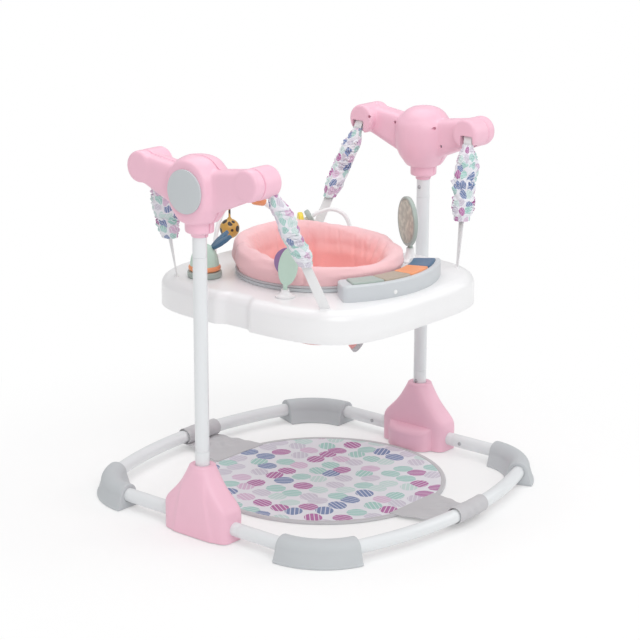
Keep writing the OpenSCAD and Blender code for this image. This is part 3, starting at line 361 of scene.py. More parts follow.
def corners_of(piece: Piece) -> Array:
    """A piece's vertices in millimetres."""
    found = np.empty(len(piece.data.vertices) * 3, np.float32)
    piece.data.vertices.foreach_get("co", found)
    return found.reshape(-1, 3).astype(float) / MM


def place_corners(piece: Piece, points: Array) -> None:
    """Put a piece's vertices at points in millimetres."""
    piece.data.vertices.foreach_set("co", (points * MM).astype(np.float32).ravel())
    piece.data.update()


def cut(piece: Piece, cutter: Piece) -> None:
    """Take the cutter's volume out of a piece and remove the cutter.

    Args:
        piece: the object that stays.
        cutter: the object whose volume is taken out.
    """
    change = piece.modifiers.new("cut", "BOOLEAN")
    change.operation = "DIFFERENCE"
    change.solver = "EXACT"
    change.object = cutter
    settle(piece)
    old = cutter.data
    bpy.data.objects.remove(cutter)
    bpy.data.meshes.remove(old)


def melt(piece: Piece, voxel: float, rounds: int, keep: float = 0.5) -> None:
    """Fuse overlapping shells to one skin with softened creases.

    Args:
        piece: the object.
        voxel: size of the remesh in millimetres.
        rounds: smoothing rounds after it.
        keep: strength of each smoothing round.
    """
    remesh = piece.modifiers.new("melt", "REMESH")
    remesh.mode = "VOXEL"
    remesh.voxel_size = voxel * MM
    soften = piece.modifiers.new("soften", "SMOOTH")
    soften.factor = keep
    soften.iterations = rounds
    settle(piece, 60)


def thicken(sheet: Piece, wall: float, offset: float) -> float:
    """Give a sheet of cloth its thickness.

    Args:
        sheet: the object.
        wall: the thickness in millimetres.
        offset: 0 where the sheet halves the wall, -1 where the wall lies behind it.
    Returns:
        The area of one side in square metres.
    """
    change = sheet.modifiers.new("thick", "SOLIDIFY")
    change.thickness = wall * MM
    change.offset = offset
    settle(sheet, SOFT)
    return sum(face.area for face in sheet.data.polygons) / 2


# Shader maths


class Value:
    """A shader socket that can stand in a sum."""

    def __init__(self, graph: Graph, socket: Any) -> None:
        """Keep the socket and the graph it is in."""
        self.graph = graph
        self.socket = socket

    def _math(self, operation: str, *others: Any) -> Value:
        """A Math node on this value and others."""
        inputs = dict(enumerate((self, *others)))
        return self.graph.add("ShaderNodeMath", {"operation": operation}, inputs)[0]

    def __add__(self, other: Any) -> Value:
        """Sum."""
        return self._math("ADD", other)

    __radd__ = __add__

    def __mul__(self, other: Any) -> Value:
        """Product."""
        return self._math("MULTIPLY", other)

    __rmul__ = __mul__

    def __sub__(self, other: Any) -> Value:
        """Difference."""
        return self._math("SUBTRACT", other)

    def __rsub__(self, other: float) -> Value:
        """Difference from a number."""
        return self.graph.add("ShaderNodeMath", {"operation": "SUBTRACT"}, {0: other, 1: self})[0]

    def sin(self) -> Value:
        """Sine."""
        return self._math("SINE")

    def step(self, low: float, high: float) -> Value:
        """Smooth rise from 0 at low to 1 at high."""
        settings = {"interpolation_type": "SMOOTHSTEP"}
        return self.graph.add("ShaderNodeMapRange", settings, {0: self, 1: low, 2: high})[0]


class Outputs:
    """The outputs of a node, by name or place."""

    def __init__(self, graph: Graph, node: Any) -> None:
        """Keep the node."""
        self.graph = graph
        self.node = node

    def __getitem__(self, key: Any) -> Value:
        """One output as a value."""
        return Value(self.graph, self.node.outputs[key])


class Graph:
    """The nodes of one material."""

    def __init__(self, name: str) -> None:
        """Start a material with its shader and output."""
        self.material = bpy.data.materials.new(name)
        self.material.use_nodes = True
        self.tree = self.material.node_tree
        self.shader = self.tree.nodes["Principled BSDF"]

    def add(self, kind: str, settings: dict[str, Any], inputs: dict[Any, Any]) -> Outputs:
        """Add any node.

        Args:
            kind: the node's type.
            settings: its properties; stops is a list of (place, colour) for a ramp, and hold keeps each
                colour up to the next stop.
            inputs: numbers, colours or values for its sockets, by name or place.
        Returns:
            Its outputs.
        """
        node = self.tree.nodes.new(kind)
        for key, value in settings.items():
            if key == "stops":
                ramp = node.color_ramp.elements
                while len(ramp) < len(value):
                    ramp.new(0.5)
                for element, (place, tint) in zip(ramp, value):
                    element.position = place
                    element.color = (*tint, 1)
            elif key == "hold":
                node.color_ramp.interpolation = "CONSTANT"
            else:
                setattr(node, key, value)
        for key, value in inputs.items():
            self.feed(node.inputs[key], value)
        return Outputs(self, node)

    def feed(self, socket: Any, value: Any) -> None:
        """Link or set one socket."""
        if isinstance(value, Value):
            self.tree.links.new(value.socket, socket)
        else:
            socket.default_value = value

    def place(self, kind: str = "Object") -> Value:
        """Where on the piece a point is: Object or UV, in metres."""
        return self.add("ShaderNodeTexCoord", {}, {})[kind]

    def noise(self, size: float, detail: float = 3, at: Value | None = None) -> Value:
        """Soft noise from 0 to 1 whose lumps have that size in millimetres."""
        where = self.place() if at is None else at
        inputs = {"Vector": where, "Scale": 1 / (size * MM), "Detail": detail, "Roughness": 0.55}
        return self.add("ShaderNodeTexNoise", {}, inputs)["Fac"]

    def blend(self, share: Any, a: Any, b: Any) -> Value:
        """A colour between a and b."""
        inputs = {0: share, 6: colour(a), 7: colour(b)}
        return self.add("ShaderNodeMix", {"data_type": "RGBA"}, inputs)[2]

    def vector(self, operation: str, a: Any, b: Any) -> Outputs:
        """A Vector Math node on two vectors."""
        return self.add("ShaderNodeVectorMath", {"operation": operation}, {0: a, 1: b})

    def length(self, vector: Value) -> Value:
        """Length of a vector."""
        return self.add("ShaderNodeVectorMath", {"operation": "LENGTH"}, {0: vector})["Value"]

    def parts(self, vector: Value) -> Outputs:
        """X, Y and Z of a vector."""
        return self.add("ShaderNodeSeparateXYZ", {}, {0: vector})

    def bump(self, height: Value, depth: float, strength: float = 1.0) -> None:
        """Raise the surface by a height of 0 to 1 times a depth in millimetres."""
        inputs = {"Height": height, "Distance": depth * MM, "Strength": strength}
        self.feed(self.shader.inputs["Normal"], self.add("ShaderNodeBump", {}, inputs)["Normal"])

    def set(self, **values: Any) -> None:
        """Set the shader's sockets, with spaces for underscores."""
        for key, value in values.items():
            self.feed(self.shader.inputs[key.replace("_", " ")], value)


def colour(value: Any) -> Any:
    """A colour with its alpha, or a linked value as it is."""
    return value if isinstance(value, Value) else (*value, 1.0)


def tone(r: int, g: int, b: int) -> tuple[float, float, float]:
    """A screen colour of 0 to 255 as linear light."""
    c = np.array([r, g, b]) / 255
    return tuple(float(x) for x in np.where(c <= 0.04045, c / 12.92, ((c + 0.055) / 1.055) ** 2.4))


def shade(tint: Sequence[float], by: float) -> tuple[float, float, float]:
    """A colour made darker or lighter."""
    return tuple(min(1.0, float(c) * by) for c in tint)


class Tint(Enum):
    """The colours of the jumper's pieces."""

    WHITE = tone(244, 244, 245)
    TUBE = tone(233, 236, 238)
    PINK = tone(246, 196, 214)
    GREY = tone(203, 208, 211)
    PAD = tone(198, 202, 205)
    SEAT = tone(251, 205, 209)
    # painted light: a brighter, warmer coral for the shaded inside of the seat's pocket
    POCKET_LIGHT = tone(254, 188, 185)
    BINDING = tone(206, 205, 208)
    GROUND = tone(240, 240, 246)
    MINT_PRINT = tone(164, 212, 203)
    MAGENTA = tone(182, 84, 160)
    SLATE = tone(104, 128, 178)
    LILAC = tone(214, 208, 222)
    ROSE = tone(222, 188, 216)
    PALE_MINT = tone(205, 228, 224)
    KEYS = tone(206, 210, 214)
    SAGE = tone(172, 185, 178)
    BEIGE = tone(182, 168, 152)
    ORANGE = tone(244, 160, 112)
    BLUE = tone(66, 106, 138)
    MINT = tone(196, 222, 207)
    PURPLE = tone(152, 118, 166)
    YELLOW = tone(240, 218, 70)
    GOLD = tone(206, 160, 78)
    DARK = tone(46, 38, 36)
    # painted reflection: the tone of the mirror's face
    REFLECTED_CREAM = tone(214, 212, 198)
    STEEL = tone(190, 192, 196)


@dataclass(frozen=True)
class Moulded:
    """A moulded plastic or rubber with a fine grain and slow changes of tone.

    In millimetres, grain is the size and lift the height of the grain, cloud the size of the changes of
    tone, whose share is drift, and scuff the size of duller spots.
    """

    name: str
    tint: Tint
    rough: float = 0.38
    coat: float = 0.15
    grain: float = 1.1
    lift: float = 0.03
    drift: float = 0.035
    cloud: float = 70.0
    scuff: float = 9.0

    def material(self) -> bpy.types.Material:
        """The material with its nodes."""
        g = Graph(self.name)
        slow = g.noise(self.cloud, 2)
        fine = g.noise(self.grain, 2)
        scuff = g.noise(self.scuff, 4).step(0.5, 0.75)
        base = self.tint.value
        g.set(Base_Color=g.blend(slow, shade(base, 1 - self.drift), shade(base, 1 + self.drift)))
        g.set(Roughness=self.rough + 0.07 * scuff + 0.05 * fine, Coat_Weight=self.coat, Coat_Roughness=0.2)
        g.bump(fine, self.lift)
        return g.material


@dataclass(frozen=True)
class Painted:
    """A powder coat on steel: faint orange peel and a soft gloss."""

    name: str
    tint: Tint
    peel: float = 2.2
    lift: float = 0.05
    cloud: float = 120.0

    def material(self) -> bpy.types.Material:
        """The material with its nodes."""
        g = Graph(self.name)
        peel = g.noise(self.peel, 2)
        slow = g.noise(self.cloud, 2)
        base = self.tint.value
        g.set(Base_Color=g.blend(slow, shade(base, 0.97), shade(base, 1.02)))
        g.set(Roughness=0.27 + 0.1 * peel, Coat_Weight=0.3, Coat_Roughness=0.12)
        g.bump(peel, self.lift)
        return g.material


@dataclass(frozen=True)
class Plated:
    """Bare plated steel with fine brush lines."""

    name: str
    tint: Tint
    rough: float = 0.3
    line: float = 0.8
    lift: float = 0.02

    def material(self) -> bpy.types.Material:
        """The material with its nodes."""
        g = Graph(self.name)
        lines = g.noise(self.line, 4)
        base = self.tint.value
        g.set(Base_Color=g.blend(lines, shade(base, 0.82), base), Metallic=1.0)
        g.set(Roughness=self.rough + 0.18 * lines)
        g.bump(lines, self.lift)
        return g.material


@dataclass(frozen=True)
class Woven:
    """A plain woven cloth: crossed threads, slow fading and a soft nap."""

    name: str
    tint: Tint
    thread: float = 0.9
    lift: float = 0.12
    rough: float = 0.82
    nap: float = 2.5
    cloud: float = 60.0

    def weave(self, g: Graph) -> Value:
        """Height of two crossed sets of threads: half the product of two sines and a half."""
        parts = g.parts(g.place("UV"))
        turns = TAU / (self.thread * MM)
        return (parts["X"] * turns).sin() * (parts["Y"] * turns).sin() * 0.5 + 0.5

    def cloth(self, g: Graph, base: Value) -> None:
        """Dress a base colour as cloth."""
        threads = self.weave(g)
        nap = g.noise(self.nap, 4)
        g.set(Base_Color=g.blend(threads * 0.35 + nap * 0.3, base, shaded(g, base, 0.86)))
        g.set(Roughness=self.rough, Sheen_Weight=0.25, Sheen_Roughness=0.5, Specular_IOR_Level=0.25)
        g.bump(threads * 0.6 + nap * 0.6, self.lift)

    def material(self) -> bpy.types.Material:
        """The material with its nodes."""
        g = Graph(self.name)
        slow = g.noise(self.cloud, 3)
        base = self.tint.value
        self.cloth(g, g.blend(slow, shade(base, 0.95), shade(base, 1.04)))
        return g.material


@dataclass(frozen=True)
class PocketLit(Woven):
    """A woven cloth with painted light inside a radius: a brighter, warmer coral set against the shade in
    the seat's pocket, which fades upwards.

    Its weave follows places on the piece, because a remeshed piece has no UV.
    """

    # painted light: the coral tone inside the pocket, set against the shade there
    pocket_light: Tint = Tint.POCKET_LIGHT
    inner: float = 148.0
    outer: float = 176.0
    fade_low: float = 530.0
    fade_high: float = 605.0
    fade: float = 0.7

    def weave(self, g: Graph) -> Value:
        """Height of two crossed sets of threads that lean through the three directions."""
        parts = g.parts(g.place())
        turns = TAU / (self.thread * MM)
        warp = ((parts["X"] + parts["Z"]) * turns).sin()
        weft = ((parts["Y"] - parts["Z"]) * turns).sin()
        return warp * weft * 0.5 + 0.5

    def material(self) -> bpy.types.Material:
        """The material with its nodes."""
        g = Graph(self.name)
        flat = g.vector("MULTIPLY", g.place(), (1, 1, 0))[0]
        far = g.length(flat)
        high = g.parts(g.place())["Z"].step(self.fade_low * MM, self.fade_high * MM)
        # share of the painted light: inside the radius, and less towards the rim's top
        inside = (1 - far.step(self.inner * MM, self.outer * MM)) * (1 - self.fade * high)
        base = g.blend(inside, self.tint.value, self.pocket_light.value)
        self.cloth(g, g.blend(g.noise(self.cloud, 3) * 0.5, base, shaded(g, base, 0.93)))
        return g.material


def shaded(g: Graph, base: Value, by: float) -> Value:
    """A linked colour made darker."""
    settings = {"data_type": "RGBA", "blend_type": "MULTIPLY"}
    return g.add("ShaderNodeMix", settings, {0: 1.0, 6: base, 7: (by, by, by, 1)})[2]


@dataclass(frozen=True)
class Printed(Woven):
    """A woven cloth printed with scattered striped pebbles.

    cell is their spacing, wobble the size of their outlines' waves and wear that of faded spots, in
    millimetres. pebble and stripe are shares of a cell, and inks the colours with the place each starts at.
    """

    cell: float = 50.0
    pebble: float = 0.47
    stripe: float = 0.2
    scatter: float = 0.42
    squeeze: float = 1.14
    wobble: float = 16.0
    wear: float = 6.0
    inks: tuple = ((0.0, Tint.MINT_PRINT), (0.2, Tint.LILAC), (0.32, Tint.MAGENTA), (0.5, Tint.ROSE),
                   (0.6, Tint.PALE_MINT), (0.76, Tint.SLATE), (0.9, Tint.LILAC))

    def material(self) -> bpy.types.Material:
        """The material with its nodes."""
        g = Graph(self.name)
        k = 1 / (self.cell * MM)
        at = g.vector("MULTIPLY", g.place("UV"), (k, k, 0))[0]
        inputs = {"Vector": at, "Scale": 1.0, "Randomness": self.scatter}
        cells = g.add("ShaderNodeTexVoronoi", {"voronoi_dimensions": "2D"}, inputs)
        picks = g.add("ShaderNodeSeparateColor", {}, {0: cells["Color"]})
        off = g.vector("SUBTRACT", at, cells["Position"])[0]
        turn = {"Vector": off, "Angle": picks[0] * 3.1}
        turned_off = g.add("ShaderNodeVectorRotate", {"rotation_type": "Z_AXIS"}, turn)[0]
        oval = g.vector("MULTIPLY", turned_off, (1.0, self.squeeze, 0))[0]
        far = g.length(oval)
        edge = far + (g.noise(self.wobble, 2, g.place("UV")) - 0.5) * 0.08
        pebble = 1 - edge.step(self.pebble, self.pebble + 0.02)
        across = g.parts(turned_off)["Y"]
        lines = (across * (TAU / self.stripe)).sin().step(0.72, 0.86)
        inside = pebble * (1 - lines * 0.85)
        stops = [(place, tint.value) for place, tint in self.inks]
        ink = g.add("ShaderNodeValToRGB", {"stops": stops, "hold": True}, {0: picks[1]})["Color"]
        fade = 0.84 + 0.16 * g.noise(self.wear, 3, g.place("UV"))
        self.cloth(g, g.blend(inside * fade, Tint.GROUND.value, ink))
        return g.material


@dataclass(frozen=True)
class Webbing:
    """Narrow woven tape: ribs across it and fine threads along it."""

    name: str
    tint: Tint
    rib: float = 1.6
    thread: float = 1.1
    fuzz: float = 1.5
    lift: float = 0.22

    def material(self) -> bpy.types.Material:
        """The material with its nodes."""
        g = Graph(self.name)
        parts = g.parts(g.place("UV"))
        ribs = (parts["Y"] * (TAU / (self.rib * MM))).sin() * 0.5 + 0.5
        threads = (parts["X"] * (TAU / (self.thread * MM))).sin() * 0.5 + 0.5
        fuzz = g.noise(self.fuzz, 3)
        base = self.tint.value
        g.set(Base_Color=g.blend(ribs * 0.5 + fuzz * 0.4, shade(base, 0.9), base), Roughness=0.72)
        g.set(Sheen_Weight=0.15, Specular_IOR_Level=0.3)
        g.bump(ribs * 0.6 + threads * 0.4, self.lift)
        return g.material


@dataclass(frozen=True)
class Spotted:
    """A moulding with dark spots of uneven sizes; spacing is that of the spots."""

    name: str
    tint: Tint
    spot: Tint
    spacing: float = 23.0
    grain: float = 1.0
    lift: float = 0.02

    def material(self) -> bpy.types.Material:
        """The material with its nodes."""
        g = Graph(self.name)
        settings = {"voronoi_dimensions": "3D"}
        inputs = {"Vector": g.place(), "Scale": 1 / (self.spacing * MM), "Randomness": 0.6}
        cells = g.add("ShaderNodeTexVoronoi", settings, inputs)
        pick = g.add("ShaderNodeSeparateColor", {}, {0: cells["Color"]})[0]
        spots = 1 - (cells["Distance"] - pick * 0.25).step(0.21, 0.24)
        grain = g.noise(self.grain, 2)
        g.set(Base_Color=g.blend(spots, self.tint.value, self.spot.value))
        g.set(Roughness=0.3 + 0.1 * grain, Coat_Weight=0.3)
        g.bump(grain, self.lift)
        return g.material


@dataclass(frozen=True)
class Silvered:
    """A soft acrylic mirror: painted reflection in its face, a cream tone with darker clouds, whose
    roughness follows the same clouds.
    """

    name: str
    tint: Tint
    # size of the clouds of painted reflection, in millimetres
    cloud: float = 14.0
    lift: float = 0.15

    def material(self) -> bpy.types.Material:
        """The material with its nodes."""
        g = Graph(self.name)
        # painted reflection: darker clouds in the face's colour stand in for what the mirror shows; the
        # roughness follows them too
        cloud = g.noise(self.cloud, 4)
        g.set(Base_Color=g.blend(cloud.step(0.35, 0.7), shade(self.tint.value, 0.62), self.tint.value))
        g.set(Metallic=0.45, Roughness=0.3 + 0.2 * cloud)
        g.bump(cloud, self.lift)
        return g.material


class Finishes:
    """Every finish of the jumper, made once and handed out by its record slot."""

    def __init__(self) -> None:
        """Make the materials."""
        plastics = [
            Moulded("pink_plastic", Tint.PINK, 0.4),
            Moulded("white_plastic", Tint.WHITE, 0.27, 0.3, 1.4, 0.02, 0.015),
            Moulded("grey_rubber", Tint.PAD, 0.58, 0.0, 0.8, 0.06),
            Moulded("grey_plastic", Tint.GREY, 0.5, 0.05),
            Moulded("pale_plastic", Tint.KEYS, 0.4), Moulded("sage_plastic", Tint.SAGE, 0.36),
            Moulded("beige_plastic", Tint.BEIGE, 0.4), Moulded("orange_plastic", Tint.ORANGE, 0.36),
            Moulded("blue_plastic", Tint.BLUE, 0.36), Moulded("mint_plastic", Tint.MINT, 0.34),
            Moulded("purple_plastic", Tint.PURPLE, 0.36), Moulded("yellow_plastic", Tint.YELLOW, 0.34),
        ]
        others = [
            Painted("white_tube", Tint.TUBE), Plated("bare_steel", Tint.STEEL),
            Webbing("white_web", Tint.WHITE), Printed("print_cloth", Tint.GROUND),
            # the seat's cloth carries painted light inside its pocket
            Woven("grey_cloth", Tint.BINDING), PocketLit("salmon_cloth", Tint.SEAT, 1.1, 0.16),
            Spotted("gold_plastic", Tint.GOLD, Tint.DARK), Silvered("mirror_film", Tint.REFLECTED_CREAM),
        ]
        self.made = {f.name: f.material() for f in [*plastics, *others]}

    def dress(self, piece: Piece, slot: str, body: str, *stands_for: str) -> Piece:
        """Give a piece its finish and its body.

        Args:
            piece: the object.
            slot: the record's material slot.
            body: the CAD body it rides on.
            stands_for: the CAD nodes it replaces.
        Returns:
            The piece.
        """
        self.paint(piece, slot)
        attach(piece, body)
        if stands_for:
            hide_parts(*stands_for)
        LOG.info("%s rides on %s", piece.name, body)
        return piece

    def paint(self, piece: Piece, slot: str) -> None:
        """Give a piece, or a CAD node that stays in view, its finish."""
        piece.data.materials.clear()
        piece.data.materials.append(self.made[slot])


@dataclass
class Assembly:
    """A sub-assembly, which makes its pieces and dresses them in the shared finishes."""

    finishes: Finishes

    def make(self, name: str, patches: Sequence[Patch], slot: str, body: str, *stands_for: str,
             sharp: float = 40.0) -> Piece:
        """Make a piece from grids and dress it.

        Args:
            name: the piece's name.
            patches: the grids.
            slot: the record's material slot.
            body: the CAD body it rides on.
            stands_for: the CAD nodes it replaces.
            sharp: edges that turn by more degrees than this are drawn sharp.
        Returns:
            The piece.
        """
        return self.finishes.dress(make_mesh(name, patches, sharp), slot, body, *stands_for)


# Shared shapes


def rod(path: Any, radius: float, edge: float = 0.8, count: int = 2, up: Any = UP, sides: int = 32) -> Patch:
    """A round bar along a path, with its end edges eased.

    Args:
        path: the middle line.
        radius: the bar's radius.
        edge: size of the easing.
        count: stations between the ends.
        up: a direction that the path never takes.
        sides: columns round the bar.
    Returns:
        The closed grid.
    """
    p = np.asarray(path, float)
    s = np.concatenate([[0], np.cumsum(np.linalg.norm(np.diff(p, axis=0), axis=1))])
    end = s[-1]
    near = np.array([0, 0.3 * edge, edge])
    at = np.concatenate([near, np.linspace(edge, end - edge, count + 2)[1:-1], end - near[::-1]])
    r = np.full(len(at), radius)
    r[[0, -1]] -= edge
    r[[1, -2]] -= 0.3 * edge
    line = np.stack([np.interp(at, s, p[:, k]) for k in range(3)], 1)
    return capped(sweep(line, circle(1, sides)[None] * r[:, None, None], up))


def hoop(path: Array, section: Array, up: Any = UP) -> Patch:
    """A section carried round a closed path."""
    p = np.vstack([path[-1:], path, path[:1]])
    rise = up if np.ndim(up) == 1 else np.vstack([up[-1:], up, up[:1]])
    return Patch(sweep(p, section, rise)[1:-1], tube=True)


def slab(outline: Array, low: float, high: float, edge: float, steps: int = 4) -> Array:
    """A flat outline raised from low to high; both edges are rounded by moving it inwards.

    Args:
        outline: points (x, y), against the clock.
        low: height of the underside.
        high: height of the top.
        edge: size of the rounding.
        steps: rows of each rounding.
    Returns:
        A grid whose end rows are meant to be fanned.
    """
    ahead = np.roll(outline, -1, 0) - np.roll(outline, 1, 0)
    inward = unit(np.stack([-ahead[:, 1], ahead[:, 0]], 1))
    u = np.linspace(0, math.pi / 2, steps + 1)
    inset = edge * np.concatenate([1 - np.sin(u), 1 - np.sin(u[::-1])])
    z = np.concatenate([low + edge * (1 - np.cos(u)), high - edge * (1 - np.cos(u[::-1]))])
    flat = outline[None] + inset[:, None, None] * inward[None]
    return np.concatenate([flat, np.broadcast_to(z[:, None, None], flat.shape[:2] + (1,))], 2)


def put(grid: Array, origin: Any, x: Any, y: Any, z: Any) -> Array:
    """A grid carried to an origin with its axes along x, y and z."""
    return np.asarray(origin, float) + grid @ np.stack([unit(x), unit(y), unit(z)])


def lump(grid: Array, origin: Any = (0, 0, 0), x: Any = (1, 0, 0), y: Any = (0, 1, 0), z: Any = UP) -> Patch:
    """A closed grid with fanned ends, carried to a place."""
    return capped(put(grid, origin, x, y, z))


def turned(profile: Any, origin: Any = (0, 0, 0), axis: Any = UP, count: int = 64) -> Patch:
    """A closed turned piece: a profile from pole to pole round an axis."""
    return capped(lathe(profile, count, origin, axis))


def planar_uv(points: Array) -> Array:
    """Pattern places of a ring grid that lies flat: its x and y in metres."""
    return np.concatenate([points, points[:, :1]], 1)[..., :2] * MM


def ripple(rng: np.random.Generator, u: Array, v: Array, waves: int, low: int, high: int) -> Array:
    """A sum of sines of two directions with whole turns in u, about -1 to 1.

    Args:
        rng: the seeded source of the waves.
        u: place round, from 0 to 1.
        v: place along, from 0 to 1.
        waves: how many sines.
        low: fewest turns.
        high: most turns.
    Returns:
        The heights at each place.
    """
    total = np.zeros(np.broadcast(u, v).shape)
    for _ in range(waves):
        a, b = rng.integers(low, high + 1), rng.uniform(low, high)
        total = total + np.sin(TAU * (a * u + b * v * rng.choice([-1, 1]) + rng.random()))
    return total / math.sqrt(waves)


# Base


@dataclass
class Base(Assembly):
    """The floor ring: two bent tubes, two foot tubes with covers, four corner pads and the posts."""

    post_x: float = 400.0
    tube_r: float = 16.0
    tube_z: float = 32.0
    side_y: float = 235.0
    corner_r: float = 140.0
    bow_r: float = 900.0
    foot_tube_y: float = 113.0
    foot_joint: float = 194.0
    head_joint: float = 639.0
    tube_top: float = 769.0
    pad_r: float = 25.6
    pad_half: float = 34.0
    pad_lip: float = 35.5
    pad_lip_h: float = 5.0
    pad_end: float = 3.0
    pad_round: float = 2.2
    pad_gap: float = 0.6
    pad_tuck: float = 6.0

    @property
    def bow_half(self) -> float:
        """Half the bow's angle."""
        return math.asin((self.post_x - self.corner_r) / (self.bow_r - self.corner_r))

    @property
    def corner_turn(self) -> float:
        """The angle of a corner, between side and bow."""
        return math.pi / 2 - self.bow_half

    @property
    def bow_y(self) -> float:
        """Where the front bow has its middle."""
        return (self.bow_r - self.corner_r) * math.cos(self.bow_half) - self.side_y

    def path(self, f: int) -> Array:
        """Middle line of a base tube: side, corner, bow and the same back.

        Args:
            f: -1 in front, 1 behind.
        Returns:
            The points, one per row.
        """
        a = math.pi + np.linspace(0, self.corner_turn, 24)
        middle = [self.corner_r - self.post_x, -self.side_y]
        corner = np.stack([np.cos(a), np.sin(a)], 1) * self.corner_r + middle
        b = np.linspace(math.pi + self.corner_turn, 1.5 * math.pi, 20)[1:]
        bow = np.stack([np.cos(b), np.sin(b)], 1) * self.bow_r + [0, self.bow_y]
        half = np.vstack([[[-self.post_x, -self.foot_tube_y]], corner, bow])
        flat = np.vstack([half, half[-2::-1] * [-1, 1]]) * [1, -f]
        return np.column_stack([flat, np.full(len(flat), self.tube_z)])

    def pad(self, s: int, f: int) -> Patch:
        """A corner pad: a flared section carried round the corner, eased at both ends.

        Args:
            s: -1 on the left, 1 on the right.
            f: -1 in front, 1 behind.
        Returns:
            The closed grid.
        """
        r, h = self.pad_r, self.tube_z
        arc = np.radians(np.linspace(0, 180, 25))
        top = np.stack([r * np.cos(arc), r * np.sin(arc)], 1)
        half, lip, lip_z = self.pad_half, self.pad_lip, self.pad_lip_h - h
        low = [[-half, lip_z], [-lip, lip_z], [-lip, -h], [lip, -h], [lip, lip_z], [half, lip_z]]
        line = resample(fillet(np.vstack([top, low]), self.pad_round, 3), 120, closed=True)
        far = np.linalg.norm(line, axis=1, keepdims=True)
        end = self.corner_turn * self.corner_r
        e = self.pad_end
        u = np.linspace(0, math.pi / 2, 5)
        inset = np.concatenate([e * (1 - np.sin(u)), np.zeros(30), e * (1 - np.sin(u[::-1]))])
        along = np.concatenate([e * (1 - np.cos(u)), np.linspace(e, end - e, 32)[1:-1],
                                end - e * (1 - np.cos(u[::-1]))])
        rows = line[None] * (1 - inset[:, None, None] / far[None])
        bore = line / far * (self.tube_r + self.pad_gap)
        rows = np.concatenate([bore[None], bore[None], rows, bore[None], bore[None]])
        along = np.concatenate([[self.pad_tuck, 0], along, [along[-1], along[-1] - self.pad_tuck]])
        a = math.pi + along[:, None] / self.corner_r
        reach = self.corner_r + rows[..., 0]
        x = reach * np.cos(a) + self.corner_r - self.post_x
        y = reach * np.sin(a) - self.side_y
        points = np.stack([-s * x, -f * y, np.maximum(rows[..., 1] + h, 0)], -1)
        return capped(points)

    def upright(self, x: float, low: float, high: float, count: int) -> Patch:
        """A standing tube at x between two heights."""
        return rod([[x, 0, low], [x, 0, high]], self.tube_r, count=count, up=EAST)

    def build(self) -> None:
        """Make and dress the ring and the posts."""
        for f, name in ENDS:
            self.make(f"{name}_ring_tube", [rod(self.path(f), self.tube_r, count=150)],
                      "white_tube", "frame", f"{name}_base_tube")
            for s, side in SIDES:
                self.make(f"{name}_{side}_shoe", [self.pad(s, f)],
                          "grey_rubber", "frame", f"{name}_{side}_pad")
        crowns = []
        for s, side in SIDES:
            x, y, z = s * self.post_x, self.foot_tube_y, self.tube_z
            rail = rod([[x, -y, z], [x, y, z]], self.tube_r, count=20)
            self.make(f"{side}_foot_tube", [rail, self.upright(x, z, self.foot_joint, 8)],
                      "white_tube", "frame", f"{side}_foot_frame")
            post = self.upright(x, self.foot_joint, self.head_joint, 20)
            self.make(f"{side}_post_tube", [post], "white_tube", "frame", f"{side}_post")
            crowns.append(self.upright(x, self.head_joint, self.tube_top, 8))
        self.make("head_tube_pair", crowns, "white_tube", "frame", "head_tubes")


